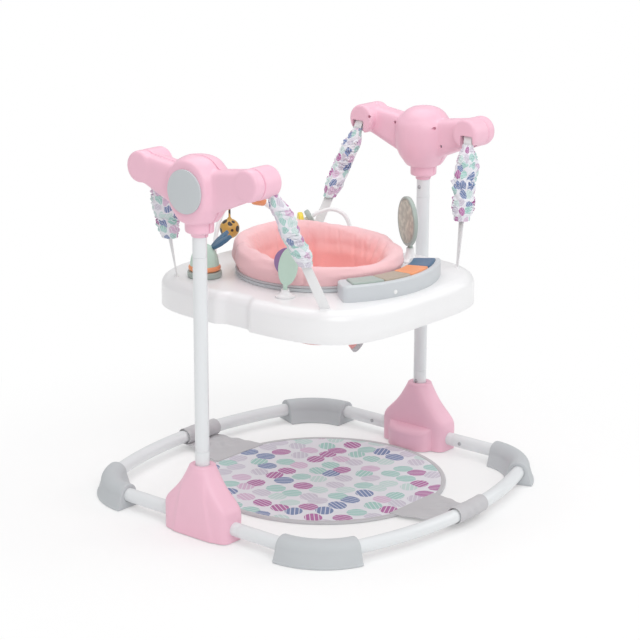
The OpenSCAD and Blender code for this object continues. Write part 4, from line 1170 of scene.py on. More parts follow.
@dataclass
class Foot(Assembly):
    """A moulded cover over a post's foot: broad on the floor, with a toe to the mat and a round neck."""

    post_x: float = 400.0
    half_len: float = 95.0
    half_thick: float = 37.0
    neck_r: float = 31.0
    low: float = 1.0
    high: float = 163.0
    toe: float = 34.0
    toe_half: float = 64.0
    toe_h: float = 58.0
    toe_fade: float = 0.3
    wall: float = 3.0
    panel: float = 3.5
    panel_top: float = 24.0
    panel_low: float = 60.0
    square: float = 5.0
    tuck: float = 0.985
    lift: float = 0.6
    rim: tuple = ((30.9, 158.5), (30.0, 161.2), (28.0, 163.0), (19.0, 163.2), (16.9, 162.6), (16.3, 161.0),
                  (16.3, 154.0))
    shares: tuple = ((0, 1, 1), (0.2, 1, 1), (0.36, 1, 1), (0.45, 0.93, 0.97), (0.54, 0.74, 0.9),
                     (0.64, 0.5, 0.78), (0.75, 0.29, 0.6), (0.87, 0.12, 0.3), (0.95, 0.02, 0.06))

    def rings(self, row: Array, wall: float) -> Array:
        """Levels of the cover: a superellipse that rounds towards the neck, plus the toe on its inner side.

        Args:
            row: height, length and thickness shares of each level.
            wall: how far the level is drawn in.
        Returns:
            A grid with +X towards the mat.
        """
        a = np.arange(200) * TAU / 200
        z = self.low + row[:, :1] * (self.high - self.low)
        hl = mix(self.neck_r, self.half_len, row[:, 1:2]) - wall
        ht = mix(self.neck_r, self.half_thick, row[:, 2:3]) - wall
        power = 2 / mix(2, self.square, np.clip(row[:, 1:2], 0, 1))
        y = hl * sign_pow(np.sin(a), power)
        x = ht * sign_pow(np.cos(a), power)
        v = np.clip((z / self.toe_h - 1 + self.toe_fade) / self.toe_fade, 0, 1)
        left = np.sqrt(1 - v**2) * self.toe
        arch = np.sqrt(np.clip(1 - (y / (self.toe_half - wall)) ** 2, 0, 1))
        x = x + np.where(np.cos(a) > 0, left * arch, 0)
        width = mix(self.panel_top, self.panel_low, 1 - row[:, :1])
        raised = self.panel * (1 - smooth(np.abs(y) / width, 0.86, 1.16))
        raised = raised * smooth(0.9 - row[:, :1], 0, 0.25)
        x = x - np.where(np.cos(a) < 0, raised * (wall == 0), 0)
        return np.stack([x, y, np.broadcast_to(z, x.shape)], -1)

    def build(self) -> None:
        """Make both covers: outer levels up, over the neck's rim, and down inside."""
        table = np.array(self.shares)
        rows = catmull(table, np.linspace(0, len(table) - 1, 70))
        outer = self.rings(rows, 0)
        inner = self.rings(rows[4:-6][::-1], self.wall)
        rim = np.array(self.rim)[:, None]
        flat = rim[..., :1] * circle(1, 200)
        top = np.concatenate([flat, np.broadcast_to(rim[..., 1:], flat.shape[:2] + (1,))], 2)
        foot = outer[0] * [1, 1, 0] + [0, 0, self.low]
        drawn = foot * [self.tuck, self.tuck, 1]
        grid = np.concatenate([drawn[None], outer + [0, 0, self.lift], top, inner])
        for s, side in SIDES:
            points = grid * [-s, 1, 1] + [s * self.post_x, 0, 0]
            self.make(f"{side}_foot_shell", [Patch(points, tube=True)],
                      "pink_plastic", "frame", f"{side}_foot_cover", sharp=50)


# Heads


@dataclass
class Head(Assembly):
    """A post's head: a round belly with two rising arms that end in drums, moulded in two halves."""

    post_x: float = 400.0
    z: float = 790.0
    belly_r: float = 66.0
    dome: float = 74.0
    square: float = 2.6
    drop: float = 90.0
    floor: float = 71.0
    reach: float = 157.0
    root_top: float = 50.0
    well_root: float = 36.0
    tip_top: float = 62.0
    tip_low: float = -3.0
    fall: float = 0.42
    blend: float = 12.0
    arm_out: float = 27.0
    arm_in: float = 31.0
    drum_r: float = 35.5
    drum_rise: float = 30.0
    drum_out: float = 29.0
    drum_in: float = 54.0
    drum_round: float = 9.0
    neck: tuple = ((0.5, -107), (19, -107), (19, -97), (30.5, -96), (32, -94.5), (32, -66), (0.5, -66))
    neck_rounds: tuple = (0, 1, 2, 1, 1, 1, 0)
    cap_x: float = 43.0
    cap_r: float = 48.5
    cap_t: float = 5.0
    pin_x: float = 42.0
    pin_y: float = 164.5
    pin_z: float = 21.0
    slot_w: float = 35.0
    slot_back: float = 12.0
    slot_up: float = 6.0
    slot_low: float = -60.0
    slot_out: float = 90.0
    well_arm: float = 30.0
    well_r: float = 3.8
    well_deep: float = 5.0
    well_out: float = 24.0
    cap_gap: float = 0.4
    voxels: tuple = (1.7, 2.4)
    soften: tuple = (46, 12)
    screws: tuple = ((129.5, 39), (66, 30), (-57, 30), (-120, 39), (-75, -12))

    def arm_top(self, y: Array, root: float | None = None) -> Array:
        """Height of an arm's upper side, from a root height to the tip's."""
        start = self.root_top if root is None else root
        return mix(start, self.tip_top, (np.abs(y) - self.belly_r) / (self.reach - self.belly_r))

    def arm_low(self, y: Array) -> Array:
        """Height of an arm's lower side."""
        return self.tip_low - self.fall * (self.reach - np.abs(y))

    def high(self, y: Array) -> Array:
        """Top outline: the belly's dome joined softly to the arms."""
        share = np.clip(1 - np.abs(y / self.belly_r) ** self.square, 0, 1)
        edge = self.dome * share ** (1 / self.square)
        top = self.arm_top(y)
        soft = (top + edge + np.sqrt((top - edge) ** 2 + self.blend**2)) / 2
        root = self.arm_top(np.array(self.belly_r))
        lift = (root + np.sqrt(root**2 + self.blend**2)) / 2 - root
        outside = top + lift * (self.reach - np.abs(y)) / (self.reach - self.belly_r)
        return np.where(np.abs(y) < self.belly_r, soft, outside)

    def low(self, y: Array) -> Array:
        """Bottom outline: the lower of arm and belly, not under the collar's floor."""
        edge = -self.drop * np.sqrt(np.clip(1 - (y / self.belly_r) ** 2, 0, 1))
        return np.maximum(-self.floor, np.minimum(self.arm_low(y), edge))

    def depth(self, y: Array, z: Array, half: float, root: float | None = None) -> Array:
        """How far a half stands out: the third root of the sum of cubes of arm and belly, plus 1.

        Args:
            y: places along the arms.
            z: heights over the head's middle.
            half: half thickness of the arms.
            root: height of the arms' upper side at the belly, or none for the visible one.
        Returns:
            The depth at each place.
        """
        top = self.arm_top(y, root)
        mid = (top + self.arm_low(y)) / 2
        v = np.abs(z - mid) / (top - mid)
        arm = half * np.clip(1 - v**4, 0, 1) ** 0.25
        power = np.where(z > 0, self.square, 2.0)
        w = np.where(z > 0, np.abs(z) / self.dome, np.abs(z) / self.drop)
        rest = np.clip(1 - w**power, 0, 1) ** (2 / power) - (y / self.belly_r) ** 2
        belly = self.belly_r * np.sqrt(np.clip(rest, 0, None))
        return 1 + np.cbrt(arm**3 + belly**3)

    def half(self, arm: float, drum: float, cap: bool) -> list[Patch]:
        """Shells of one half with +X away from the parting plane.

        Args:
            arm: half thickness of the arms.
            drum: length of the drums.
            cap: whether the belly is cut flat for the cap.
        Returns:
            Closed shells that overlap.
        """
        y = np.linspace(-self.reach, self.reach, 130)[:, None]
        j = (1 + np.sin(np.linspace(-0.5, 0.5, 60) * math.pi))[None] / 2
        z = mix(self.low(y), self.high(y), j)
        x = self.depth(y, z, arm)
        if cap:
            x = np.minimum(x, self.cap_x)
        y = np.broadcast_to(y, x.shape)
        front = np.stack([x, y, z], -1)
        ends = np.stack([z[:, -1] - 0.6, z[:, 0] + 0.6], 1)
        back = np.stack([np.zeros((130, 2)), y[:, [0, 0]], ends], -1)
        shells = [capped(np.concatenate([front, back], 1))]
        r, e = self.drum_r, self.drum_round
        line = [[0.5, 0], [r - 0.6, 0], [r, 0.8], [r, drum], [0.5, drum]]
        profile = fillet(line, [0, 0.3, 0.3, e, 0], 6, closed=False)
        for f in (-1, 1):
            shells.append(turned(profile, (0, f * self.reach, self.drum_rise), EAST, 72))
        a = np.linspace(-0.5, 0.5, 40) * math.pi
        p = fillet(self.neck, self.neck_rounds, 3, closed=False)
        ring = np.stack([np.cos(a), np.sin(a)], 1)
        disc = p[:, None, :1] * ring[None]
        disc = np.concatenate([disc, np.broadcast_to(p[:, None, 1:], disc.shape[:2] + (1,))], 2)
        shells.append(capped(disc))
        return shells

    def cutters(self, out: bool) -> list[Patch]:
        """Volumes taken out of a half: cap recess outside, strap slots and screw wells inside.

        Args:
            out: whether it is the outer half.
        Returns:
            Closed shells.
        """
        if out:
            x, r, end = self.cap_x, self.cap_r + self.cap_gap, 80
            return [turned([[0.5, x], [r, x], [r, end], [0.5, end]], (0, 0, 0), EAST, 96)]
        found = []
        for f in (-1, 1):
            w, near, far = self.slot_w / 2, self.pin_x - self.slot_back, self.slot_out
            plan = fillet([[near, -w], [far, -w], [far, w], [near, w]], 4, 4)
            hole = slab(plan, self.slot_low, self.pin_z + self.slot_up, 3)
            found.append(lump(hole, (0, f * self.pin_y, 0)))
        for y, z in self.screws:
            at = np.array(float(y)), np.array(float(z))
            face = float(self.depth(*at, self.well_arm, self.well_root))
            low, high = face - self.well_deep, face + self.well_out
            well = [[0.3, low], [self.well_r, low], [self.well_r, high], [0.3, high]]
            found.append(turned(well, (0, y, z), EAST, 24))
        return found

    def build(self) -> None:
        """Make the four halves and the two caps."""
        caps = []
        fine, coarse = self.voxels
        for s, side in SIDES:
            for out, name, arm, drum in ((True, "outer", self.arm_out, self.drum_out),
                                         (False, "inner", self.arm_in, self.drum_in)):
                way = s if out else -s
                at, turn = [s * self.post_x, 0, self.z], [way, 1, 1]
                shells = self.half(arm, drum, out)
                cuts = self.cutters(out)
                for patch in [*shells, *cuts]:
                    patch.points = patch.points * turn + at
                piece = make_mesh(f"{side}_{name}_head", shells)
                melt(piece, fine, self.soften[0 if out else 1])
                cut(piece, make_mesh("cutter", cuts))
                self.finishes.dress(piece, "pink_plastic", "frame", f"{side}_head_{name}")
            profile = rounded_disc(self.cap_r, 0, self.cap_t, 1.6, -0.5)
            caps.append(turned(profile, (s * (self.post_x + self.cap_x), 0, self.z), (s, 0, 0), 96))
        self.make("round_caps", caps, "grey_plastic", "frame", "head_caps")


# Suspension


@dataclass
class Suspension(Assembly):
    """Four hangers: webbing on a pin, a coil spring in a gathered cover, and webbing to the tray.

    cloth_len is a cover's flat length in metres; it is not used.
    """

    top: tuple = (358.0, 164.5, 811.0)
    low: tuple = (242.0, 223.0, 528.3)
    cover_top: float = 781.0
    cover_reach: float = 797.0
    cover_low: float = 630.0
    web_w: float = 22.0
    web_t: float = 2.5
    pin_r: float = 3.2
    cover_r: float = 20.5
    coil_r: float = 8.6
    wire_r: float = 1.1
    turns: int = 17
    coil_in: float = 6.0
    web_in: float = 14.0
    web_bend: float = 8.0
    tail_from: float = 4.0
    tail: float = 26.0
    lower_in: float = 16.0
    foot_drop: float = 6.0
    folds: float = 10.5
    frills: float = 17.0
    fold_share: float = 0.06
    frill_share: float = 0.14
    fine_share: float = 0.045
    sway: float = 1.8
    jitter: float = 2.6
    cloth_t: float = 1.2
    cloth_len: float = 0.21

    def at(self, s: int, f: int, z: Any) -> Array:
        """Points of a hanger's line at heights z."""
        a = np.array(self.top) * [s, f, 1]
        b = np.array(self.low) * [s, f, 1]
        t = (a[2] - np.asarray(z, float)) / (a[2] - b[2])
        return a + (b - a) * t[..., None]

    def web_section(self) -> Array:
        """Section of the webbing, with soft edges."""
        w, t = self.web_w / 2, self.web_t / 2
        return fillet([[-w, -t], [w, -t], [w, t], [-w, t]], 0.9, 3)

    def loop(self, s: int, f: int) -> Patch:
        """The upper webbing: up from the cover, over the pin and back down behind."""
        r = self.pin_r + self.web_t / 2
        line = self.at(s, f, np.linspace(self.cover_top - self.web_in, self.top[2] - self.web_bend, 14))
        down = unit(self.at(s, f, np.array(500.0)) - self.at(s, f, np.array(600.0)))
        pin = np.array(self.top) * [s, f, 1]
        side = unit(np.cross([0, 1, 0], down))
        u = np.linspace(0, math.pi, 16)[:, None]
        bend = pin + r * (np.cos(u) * side - np.sin(u) * down)
        t = np.linspace(0, 1, 12)[:, None]
        front = line + side * r * smooth(np.arange(14) / 13, 0.2, 1)[:, None] * 0.98
        back = pin - side * r * (1 - 0.55 * t) + down * (self.tail_from + self.tail * t)
        path = np.vstack([front, bend, back])
        return capped(sweep(path, self.web_section()[:, ::-1], [0, 1, 0]))

    def lower(self, s: int, f: int) -> Patch:
        """The lower webbing, which turns from the pin's direction to face outwards at the tray."""
        z = np.linspace(self.cover_low + self.lower_in, self.low[2] - self.foot_drop, 40)
        path = self.at(s, f, z)
        turn = np.clip((self.cover_top - z) / (self.cover_top - self.low[2]), 0, 1)
        a = np.radians(90 + s * f * 45 * turn)
        wide = np.stack([np.cos(a), np.sin(a), 0 * a], 1)
        return capped(sweep(path, self.web_section()[:, ::-1], wide))

    def coil(self, s: int, f: int) -> Patch:
        """A helix of wire whose end turns lie close."""
        t = np.linspace(0, 1, self.turns * 24)
        axis = self.at(s, f, mix(self.cover_top - self.coil_in, self.cover_low + self.coil_in, t))
        a = TAU * self.turns * t
        ring = np.stack([np.cos(a), np.sin(a), 0 * a], 1)
        return capped(sweep(axis + self.coil_r * ring, circle(self.wire_r, 8), ring))

    def cover(self, s: int, f: int, seed: int) -> Patch:
        """A gathered sleeve: an oval tube, slim at the top, with uneven folds and two frilled sides.

        Args:
            s: -1 on the left, 1 on the right.
            f: -1 in front, 1 behind.
            seed: start of its random waves.
        Returns:
            The open tube.
        """
        rng = np.random.default_rng(seed)
        t = np.linspace(0, 1, 190)[:, None]
        u = (np.arange(120) / 120)[None]
        a = TAU * u
        ends = np.sin(math.pi * np.clip(t, 0.004, 0.996)) ** 0.4
        wide = mix(0.5, 1.0, smooth(t, 0.0, 0.26)) * mix(1.0, 0.72, smooth(t, 0.84, 1.0))
        lean = np.array(self.low[:2]) * [s, f] - np.array(self.top[:2]) * [s, f]
        face = math.atan2(lean[1], lean[0])
        side = np.abs(np.sin(a - face)) ** 3
        drift = 0.8 * np.sin(TAU * 1.3 * t + rng.random() * 6)
        drift = drift + 0.5 * np.sin(TAU * 3.1 * t + rng.random() * 6)
        bend = 0.22 * np.sin(2 * a + 5 * t) + 0.14 * np.sin(3 * a + seed) + 0.1 * np.sin(5 * a - 9 * t)
        folds = np.sin(TAU * (self.folds * t + drift + bend))
        frill = np.sin(TAU * (self.frills * t + 1.4 * drift) + seed)
        uneven = 0.6 + 0.4 * ripple(rng, u, t, 4, 1, 3)
        fine = ripple(rng, u, t, 9, 3, 10)
        r = self.cover_r * wide * (1 + 0.16 * side)
        gather = self.fold_share * folds * uneven + self.frill_share * side * frill + self.fine_share * fine
        r = r * (1 + ends * gather)
        path = self.at(s, f, mix(self.cover_reach, self.cover_low, t[:, 0]))
        sway = np.stack([np.sin(TAU * 2.2 * t[:, 0] + seed), np.cos(TAU * 1.7 * t[:, 0]), 0 * t[:, 0]], 1)
        path = path + self.sway * sway * ends
        points = path[:, None] + np.stack([r * np.cos(a), r * np.sin(a), self.jitter * ends * fine], -1)
        patch = Patch(points)
        patch.uv = patch.default_uv() * [2.0, 2.2] + [0.31 * seed, 0.17 * seed]
        return patch

    def build(self) -> None:
        """Make and dress the four hangers."""
        loops, lowers = [], []
        for k, (s, f, name) in enumerate(CORNERS):
            loops.append(self.loop(s, f))
            lowers.append(self.lower(s, f))
            sleeve = make_mesh(f"{name}_sleeve", [self.cover(s, f, k + 3)], SOFT)
            area = thicken(sleeve, self.cloth_t, -1)
            start = tuple(float(x) for x in self.at(s, f, np.array(self.cover_reach)) * MM)
            end = tuple(float(x) for x in self.at(s, f, np.array(self.cover_low)) * MM)
            self.hang(sleeve, "print_cloth", start, end, f"{name}_spring_cover")
        coils = make_mesh("coil_springs", [self.coil(s, f) for s, f, _ in CORNERS])
        start = (0.0, 0.0, self.cover_top * MM)
        end = (0.0, 0.0, self.cover_low * MM)
        self.hang(coils, "bare_steel", start, end, "springs")
        self.make("pin_webbing", loops, "white_web", "frame", "upper_straps")
        self.make("tray_webbing", lowers, "white_web", "tray", "tray_straps")

    def hang(self, piece: Piece, slot: str, start: tuple, end: tuple, node: str) -> None:
        """Dress a piece that stretches between the frame and the tray.

        Args:
            piece: the object.
            slot: the record's material slot.
            start: its end on the frame, in metres; not used.
            end: its end on the tray, in metres; not used.
            node: the CAD node it replaces.
        """
        self.finishes.paint(piece, slot)
        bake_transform(piece)
        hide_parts(node)
        LOG.info("%s hangs between frame and tray", piece.name)


# Tray and seat


@dataclass
class Tray(Assembly):
    """A moulded ring: a skirt, a rounded edge and a flat top round the seat's hole."""

    half_x: float = 298.0
    half_y: float = 314.0
    low: float = 456.0
    top: float = 528.0
    edge: float = 28.0
    edge_drop: float = 26.0
    wall: float = 3.0
    hole_r: float = 175.0
    lip: float = 14.0
    recess: float = 14.0
    recess_w: float = 90.0
    recess_edge: int = 8
    anchors: tuple = (242.0, 223.0)
    bezel: tuple = (15.0, 5.5)
    bezel_low: float = -0.8
    bezel_high: float = 1.8
    bezel_round: float = 1.1

    def radius(self, a: Array) -> Array:
        """Plan radius: a superellipse of power 4, pressed in where a post stands."""
        c, s = np.abs(np.cos(a)), np.abs(np.sin(a))
        r = ((c / self.half_x) ** 4 + (s / self.half_y) ** 4) ** -0.25
        dent = self.recess * np.exp(-((2 * r * s / self.recess_w) ** self.recess_edge))
        return r - np.where(c > s, dent, 0)

    def build(self) -> None:
        """Make the tray: each section point sits at a share of the plan radius plus an offset."""
        a = np.arange(360) * TAU / 360
        r = self.radius(a)[None]
        e, d, w = self.edge, self.edge_drop, self.wall
        u = np.radians(np.linspace(0, 90, 12))
        shoulder = np.stack([e * np.cos(u) - e, self.top - d + d * np.sin(u)], 1)
        inside = np.stack([(e - w) * np.cos(u) - e, self.top - d + (d - w) * np.sin(u)], 1)[::-1]
        outer = np.vstack([[[-w + 0.6, self.low], [-0.6, self.low], [0, self.low + 1]],
                           [[0, self.low + 24]], shoulder])
        hole, top, lip = self.hole_r, self.top, self.top - self.lip
        ring = np.array([[hole + 30, top], [hole + 2.6, top], [hole + 0.7, top - 0.6], [hole, top - 2.4],
                         [hole, lip], [hole + w, lip], [hole + w, top - w]])
        under = np.vstack([inside, [[-w, self.low + 1]]])
        rows = [np.stack([r[0] + o, np.full(360, z)], 1) for o, z in outer]
        rows += [np.stack([np.full(360, o), np.full(360, z)], 1) for o, z in ring]
        rows += [np.stack([r[0] + o, np.full(360, z)], 1) for o, z in under]
        g = np.array(rows)
        points = np.stack([g[..., 0] * np.cos(a), g[..., 0] * np.sin(a), g[..., 1]], -1)
        self.make("tray_shell", [Patch(points, tube=True)], "white_plastic", "tray", "tray", sharp=50)
        bezels = []
        x, y = self.bezel
        plan = fillet([[-x, -y], [x, -y], [x, y], [-x, y]], 5, 5)
        rim = slab(plan, self.bezel_low, self.bezel_high, self.bezel_round)
        for s, f, _ in CORNERS:
            turn = math.radians(90 + s * f * 45)
            wide = np.array([math.cos(turn), math.sin(turn), 0])
            at = np.array([s * self.anchors[0], f * self.anchors[1], self.top])
            side = np.array([-wide[1], wide[0], 0])
            bezels.append(lump(rim, at, wide, side))
        self.make("strap_rims", bezels, "white_plastic", "tray")


@dataclass
class Seat(Assembly):
    """A turning ring with a padded cloth seat: a soft rim, a hanging pocket and two leg holes with cuffs.

    cuff_len is a cuff's flat length in metres; it is not used.
    """

    floor: float = 536.3
    pocket_r: float = 163.0
    pocket_low: float = 356.0
    thick: float = 12.0
    rim_in: float = 141.0
    rim_out: float = 189.0
    rim_mid: float = 60.0
    rim_tilt: float = 17.0
    leg_r: float = 49.0
    leg_reach: float = 86.0
    leg_z: float = 422.0
    leg_tilt: float = 52.0
    leg_spread: float = 42.0
    cuff_drops: tuple = (2.0, 42.0)
    voxel: float = 5.0
    swell: float = 4.0
    slack: float = -0.03
    cap: float = 6.0
    steps: int = 20
    seam_in: float = 4.0
    puff: float = 3.2
    wave_out: float = 1.5
    wave_up: float = 1.6
    pleat: float = 5.2
    groove: float = 2.4
    groove_w: float = 3.2
    middle_in: float = 8.0
    middle_up: float = 6.0
    leg_from: float = -60.0
    leg_to: float = 90.0
    cuff_out: float = 14.0
    cuff_t: float = 1.8
    cuff_len: float = 0.045
    hem: tuple = (2.5, 6.0)
    piping_r: float = 3.0
    ring_line: tuple = ((165, 509.7), (177, 509.7), (177, 513.7), (174, 513.7), (174, 528.3), (192, 528.3),
                        (192, 536), (165, 536))
    ring_rounds: tuple = (1, 1, 0.5, 0.5, 0.5, 1, 3, 1)
    creases: int = 19
    seams: tuple = (-150.0, -30.0, 38.0, 142.0)
    shares: tuple = ((0.96, 0), (1.03, 0.15), (1.07, 0.38), (1.05, 0.62), (0.97, 0.84), (0.85, 0.97),
                     (0.7, 1), (0.53, 0.92), (0.35, 0.72), (0.14, 0.36))

    def seam_gap(self, deg: Array, r: float) -> Array:
        """Way to the nearest seam in millimetres, for angles in degrees at a radius."""
        turns = np.stack([np.abs((deg - s + 180) % 360 - 180) for s in self.seams])
        return turns.min(0) * math.pi / 180 * r

    def skin(self) -> Array:
        """Rows from the pocket's outer pole up, over the rim and down the inside to the inner pole.

        The rim bulges between its seams, and pleats run down the inner wall.

        Returns:
            A grid whose end rows are meant to be fanned.
        """
        n = 288
        a = np.arange(n) * TAU / n
        deep = self.floor - self.pocket_low
        u = np.radians(np.linspace(2.5, 90, 34))
        out = np.stack([self.pocket_r * np.sin(u), self.floor - deep * np.cos(u)], 1)
        inn = np.stack([self.rim_in * np.sin(u), self.floor - (deep - self.thick) * np.cos(u)], 1)[::-1]
        t = np.linspace(0, len(self.shares) - 1, 64)
        rim = catmull(self.shares, t)
        h = self.rim_mid + self.rim_tilt * np.sin(a)
        rows_r = [np.full(n, r) for r in out[:, 0]]
        rows_z = [np.full(n, z) for z in out[:, 1]]
        for x, y in rim:
            rows_r.append(np.full(n, mix(self.rim_in, self.rim_out, x)))
            rows_z.append(self.floor + h * y)
        rows_r += [np.full(n, r) for r in inn[:, 0]]
        rows_z += [np.full(n, z) for z in inn[:, 1]]
        r, z = np.array(rows_r), np.array(rows_z)
        k = np.arange(len(r))[:, None]
        first, last = len(out), len(out) + len(rim)
        place = (k - first) / (last - first)
        rng = np.random.default_rng(11)
        deg = np.degrees(a)[None]
        gaps = self.seam_gap(deg, 200)
        seam = np.exp(-((gaps / 5) ** 2)) * smooth(place, 0.02, 0.1) * (1 - smooth(place, 0.55, 0.75))
        puff = smooth(place, 0.0, 0.25) * (1 - smooth(place, 0.5, 0.8)) * smooth(gaps, 0, 60)
        soft = ripple(rng, np.arange(n)[None] / n, place, 9, 2, 7) * smooth(place, 0.05, 0.3)
        soft = soft * (1 - smooth(place, 1.1, 1.5))
        warp = 2.2 * np.sin(2 * a + 0.4) + 1.7 * np.sin(3 * a + 2)
        warp = warp + 1.1 * np.sin(5 * a) + 0.8 * np.sin(8 * a + 1)
        level = place * 2.6
        pleat = np.sin(a * 21 + warp + 0.9 * np.sin(4 * a + level))
        pleat = (pleat - 0.6 * np.cos(a * 13 - warp + level)) * (0.55 + 0.45 * np.sin(a * 4 + 1.3 * level))
        back = mix(0.45, 1.0, smooth(np.sin(a), -0.4, 0.7))[None]
        inside = smooth(place, 0.6, 0.86) * (1 - smooth(place, 1.1, 1.5))
        r = r - self.seam_in * seam + self.puff * puff + self.wave_out * soft
        r = r - self.pleat * pleat * inside * back
        z = z + self.wave_up * soft * (place > 0)
        return np.stack([r * np.cos(a), r * np.sin(a), z], -1)

    def legs(self) -> list[tuple[Array, Array, Array]]:
        """Middle, axis and side direction of each leg hole."""
        found = []
        for s in (-1, 1):
            turn = math.radians(s * self.leg_spread - 90)
            out = np.array([math.cos(turn), math.sin(turn), 0])
            tilt = math.radians(180 - self.leg_tilt)
            axis = math.sin(tilt) * out + math.cos(tilt) * UP
            found.append((self.leg_reach * out + self.leg_z * UP, axis, np.cross(axis, UP)))
        return found

    def opening(self, middle: Array, axis: Array, side: Array) -> Array:
        """Edge of a leg hole, where the hole's cylinder meets the pocket's middle surface.

        Args:
            middle: a point on the hole's axis.
            axis: the axis, outwards.
            side: a direction across it.
        Returns:
            The points of the edge, one per row.
        """
        a = np.arange(120)[:, None] * TAU / 120
        q = middle + self.leg_r * (np.cos(a) * unit(side) + np.sin(a) * unit(np.cross(axis, side)))
        deep = self.floor - self.pocket_low - self.middle_up
        size = np.array([1 / (self.pocket_r - self.middle_in)] * 2 + [1 / deep])
        p, d = (q - [0, 0, self.floor]) * size, axis * size
        aa, bb, cc = d @ d, 2 * p @ d, np.einsum("ij,ij->i", p, p) - 1
        t = (-bb + np.sqrt(np.maximum(bb**2 - 4 * aa * cc, 0))) / (2 * aa)
        return q + t[:, None] * axis

    def cuff(self, edge: Array, axis: Array, drop: float, seed: int) -> Array:
        """Rows of a cuff that hangs from a leg hole's edge, more on its lower side, with soft waves.

        Args:
            edge: the hole's edge.
            axis: the hole's axis, outwards.
            drop: how far the cuff hangs.
            seed: start of its random waves.
        Returns:
            A grid from the edge down.
        """
        rng = np.random.default_rng(seed)
        t = np.linspace(0, 1, 16)[:, None]
        u = (np.arange(len(edge)) / len(edge))[None]
        under = smooth(edge[:, 2].max() - edge[:, 2], 0, np.ptp(edge[:, 2]))
        fall = (self.cuff_out * unit(axis * [1, 1, 0]) - drop * UP) * mix(0.35, 1.0, under)[:, None]
        middle = edge.mean(0)
        wave = ripple(rng, u, t * 0.3, 6, 3, 8) * smooth(t, 0.1, 0.9)
        outward = unit(edge - middle)[None] * (1.5 * wave + 3 * np.sin(math.pi * t) - 4 * t)[..., None]
        return edge[None] + t[..., None] * fall[None] + outward

    def fill(self, cloth: Piece) -> None:
        """Swell the padding by a cloth simulation under pressure, within a cap from where each point starts.

        The cap fades to nothing at the ring, so that the cloth stays where the ring holds it.

        Args:
            cloth: the seat's object.
        """
        melt(cloth, self.voxel, 2)
        start = corners_of(cloth)
        change = cloth.modifiers.new("swell", "CLOTH")
        change.settings.use_pressure = True
        change.settings.uniform_pressure_force = self.swell
        change.settings.shrink_min = self.slack
        change.settings.effector_weights.gravity = 0
        change.point_cache.frame_start = 1
        change.point_cache.frame_end = self.steps
        for step in range(1, self.steps + 1):
            bpy.context.scene.frame_set(step)
        settle(cloth, SOFT)
        bpy.context.scene.frame_set(1)
        move = corners_of(cloth) - start
        free = smooth(np.abs(start[:, 2] - self.floor + 8), 18, 44)
        inner = 1 - smooth(np.linalg.norm(start[:, :2], axis=1), 140, 152)
        limit = self.cap * np.maximum(free, inner)[:, None] * mix(0.2, 1.0, smooth(start[:, 2:], 420, 500))
        far = np.maximum(np.linalg.norm(move, axis=1, keepdims=True), 1e-9)
        place_corners(cloth, start + move * np.minimum(1, limit / far))
        finer = cloth.modifiers.new("finer", "SUBSURF")
        finer.levels = 1
        finer.render_levels = 1
        settle(cloth, SOFT)
        self.sew(cloth)

    def sew(self, cloth: Piece) -> None:
        """Draw in the rim's seams and the creases of the pocket's inner wall, as grooves of exp(-(distance /
        width)^2).

        Args:
            cloth: the seat's object.
        """
        p = corners_of(cloth)
        deg = np.degrees(np.arctan2(p[:, 1], p[:, 0]))
        gaps = self.seam_gap(deg, 190)
        depth = self.groove * np.exp(-((gaps / self.groove_w) ** 2))
        depth = depth * smooth(p[:, 2], self.floor + 4, self.floor + 14)
        out = unit(p * [1, 1, 0])
        r = np.linalg.norm(p[:, :2], axis=1)
        depth = depth * smooth(r, 150, 168)
        rng = np.random.default_rng(5)
        down = self.floor + self.rim_mid + self.rim_tilt * np.sin(np.radians(deg)) - p[:, 2]
        wall = (1 - smooth(r, 163, 174)) * smooth(down, 2, 12) * (down < 150)
        for at in np.linspace(-8, 200, self.creases) + rng.uniform(-7, 7, self.creases):
            lean, wide, long, deep = rng.uniform((-0.1, 2.6, 45, 1.8), (0.1, 5.5, 120, 4.6))
            off = ((deg - at - lean * down + 180) % 360 - 180) * math.pi / 180 * r
            groove = deep * np.exp(-((off / wide) ** 2))
            groove = groove - 0.45 * deep * np.exp(-((off / (2.6 * wide)) ** 2))
            depth = depth - groove * wall * (1 - smooth(down, 0.5 * long, long))
        place_corners(cloth, p - out * depth[:, None])

    def build(self) -> None:
        """Make the ring, the padded cloth, its cuffs, hems and piping."""
        cloth = make_mesh("seat_cloth", [capped(self.skin())], SOFT)
        low, high, r = self.leg_from, self.leg_to, self.leg_r
        bar = [[0.5, low], [r, low], [r, high], [0.5, high]]
        holes = [turned(bar, middle, axis, 96) for middle, axis, _ in self.legs()]
        cut(cloth, make_mesh("cutter", holes))
        self.fill(cloth)
        self.finishes.dress(cloth, "salmon_cloth", "seat", "seat_fabric")
        hems = []
        for k, (leg, name) in enumerate(zip(self.legs(), ("left", "right"))):
            rows = self.cuff(self.opening(*leg), leg[1], self.cuff_drops[k], 21 + k)
            x, y = self.hem
            section = fillet([[-x, -y], [x, -y], [x, y], [-x, y]], 2, 4)
            hems.append(hoop(rows[-1], section, unit(rows[-1] - rows[-2])))
            cuff = make_mesh(f"{name}_cuff", [Patch(rows)], SOFT)
            area = thicken(cuff, self.cuff_t, 0)
            self.finishes.dress(cuff, "salmon_cloth", "seat")
        self.make("leg_hems", hems, "grey_cloth", "seat", sharp=SOFT)
        a = np.arange(240) * TAU / 240
        r, high = self.rim_out + 1, self.floor + self.piping_r
        line = np.stack([r * np.cos(a), r * np.sin(a), np.full(240, high)], 1)
        self.make("rim_piping", [hoop(line, circle(self.piping_r, 16))], "grey_cloth", "seat", sharp=SOFT)
        ring = Patch(lathe(fillet(self.ring_line, self.ring_rounds, 4), 160), tube=True)
        self.make("turning_ring", [ring], "grey_plastic", "seat", "seat_ring")


# Keyboard and toys


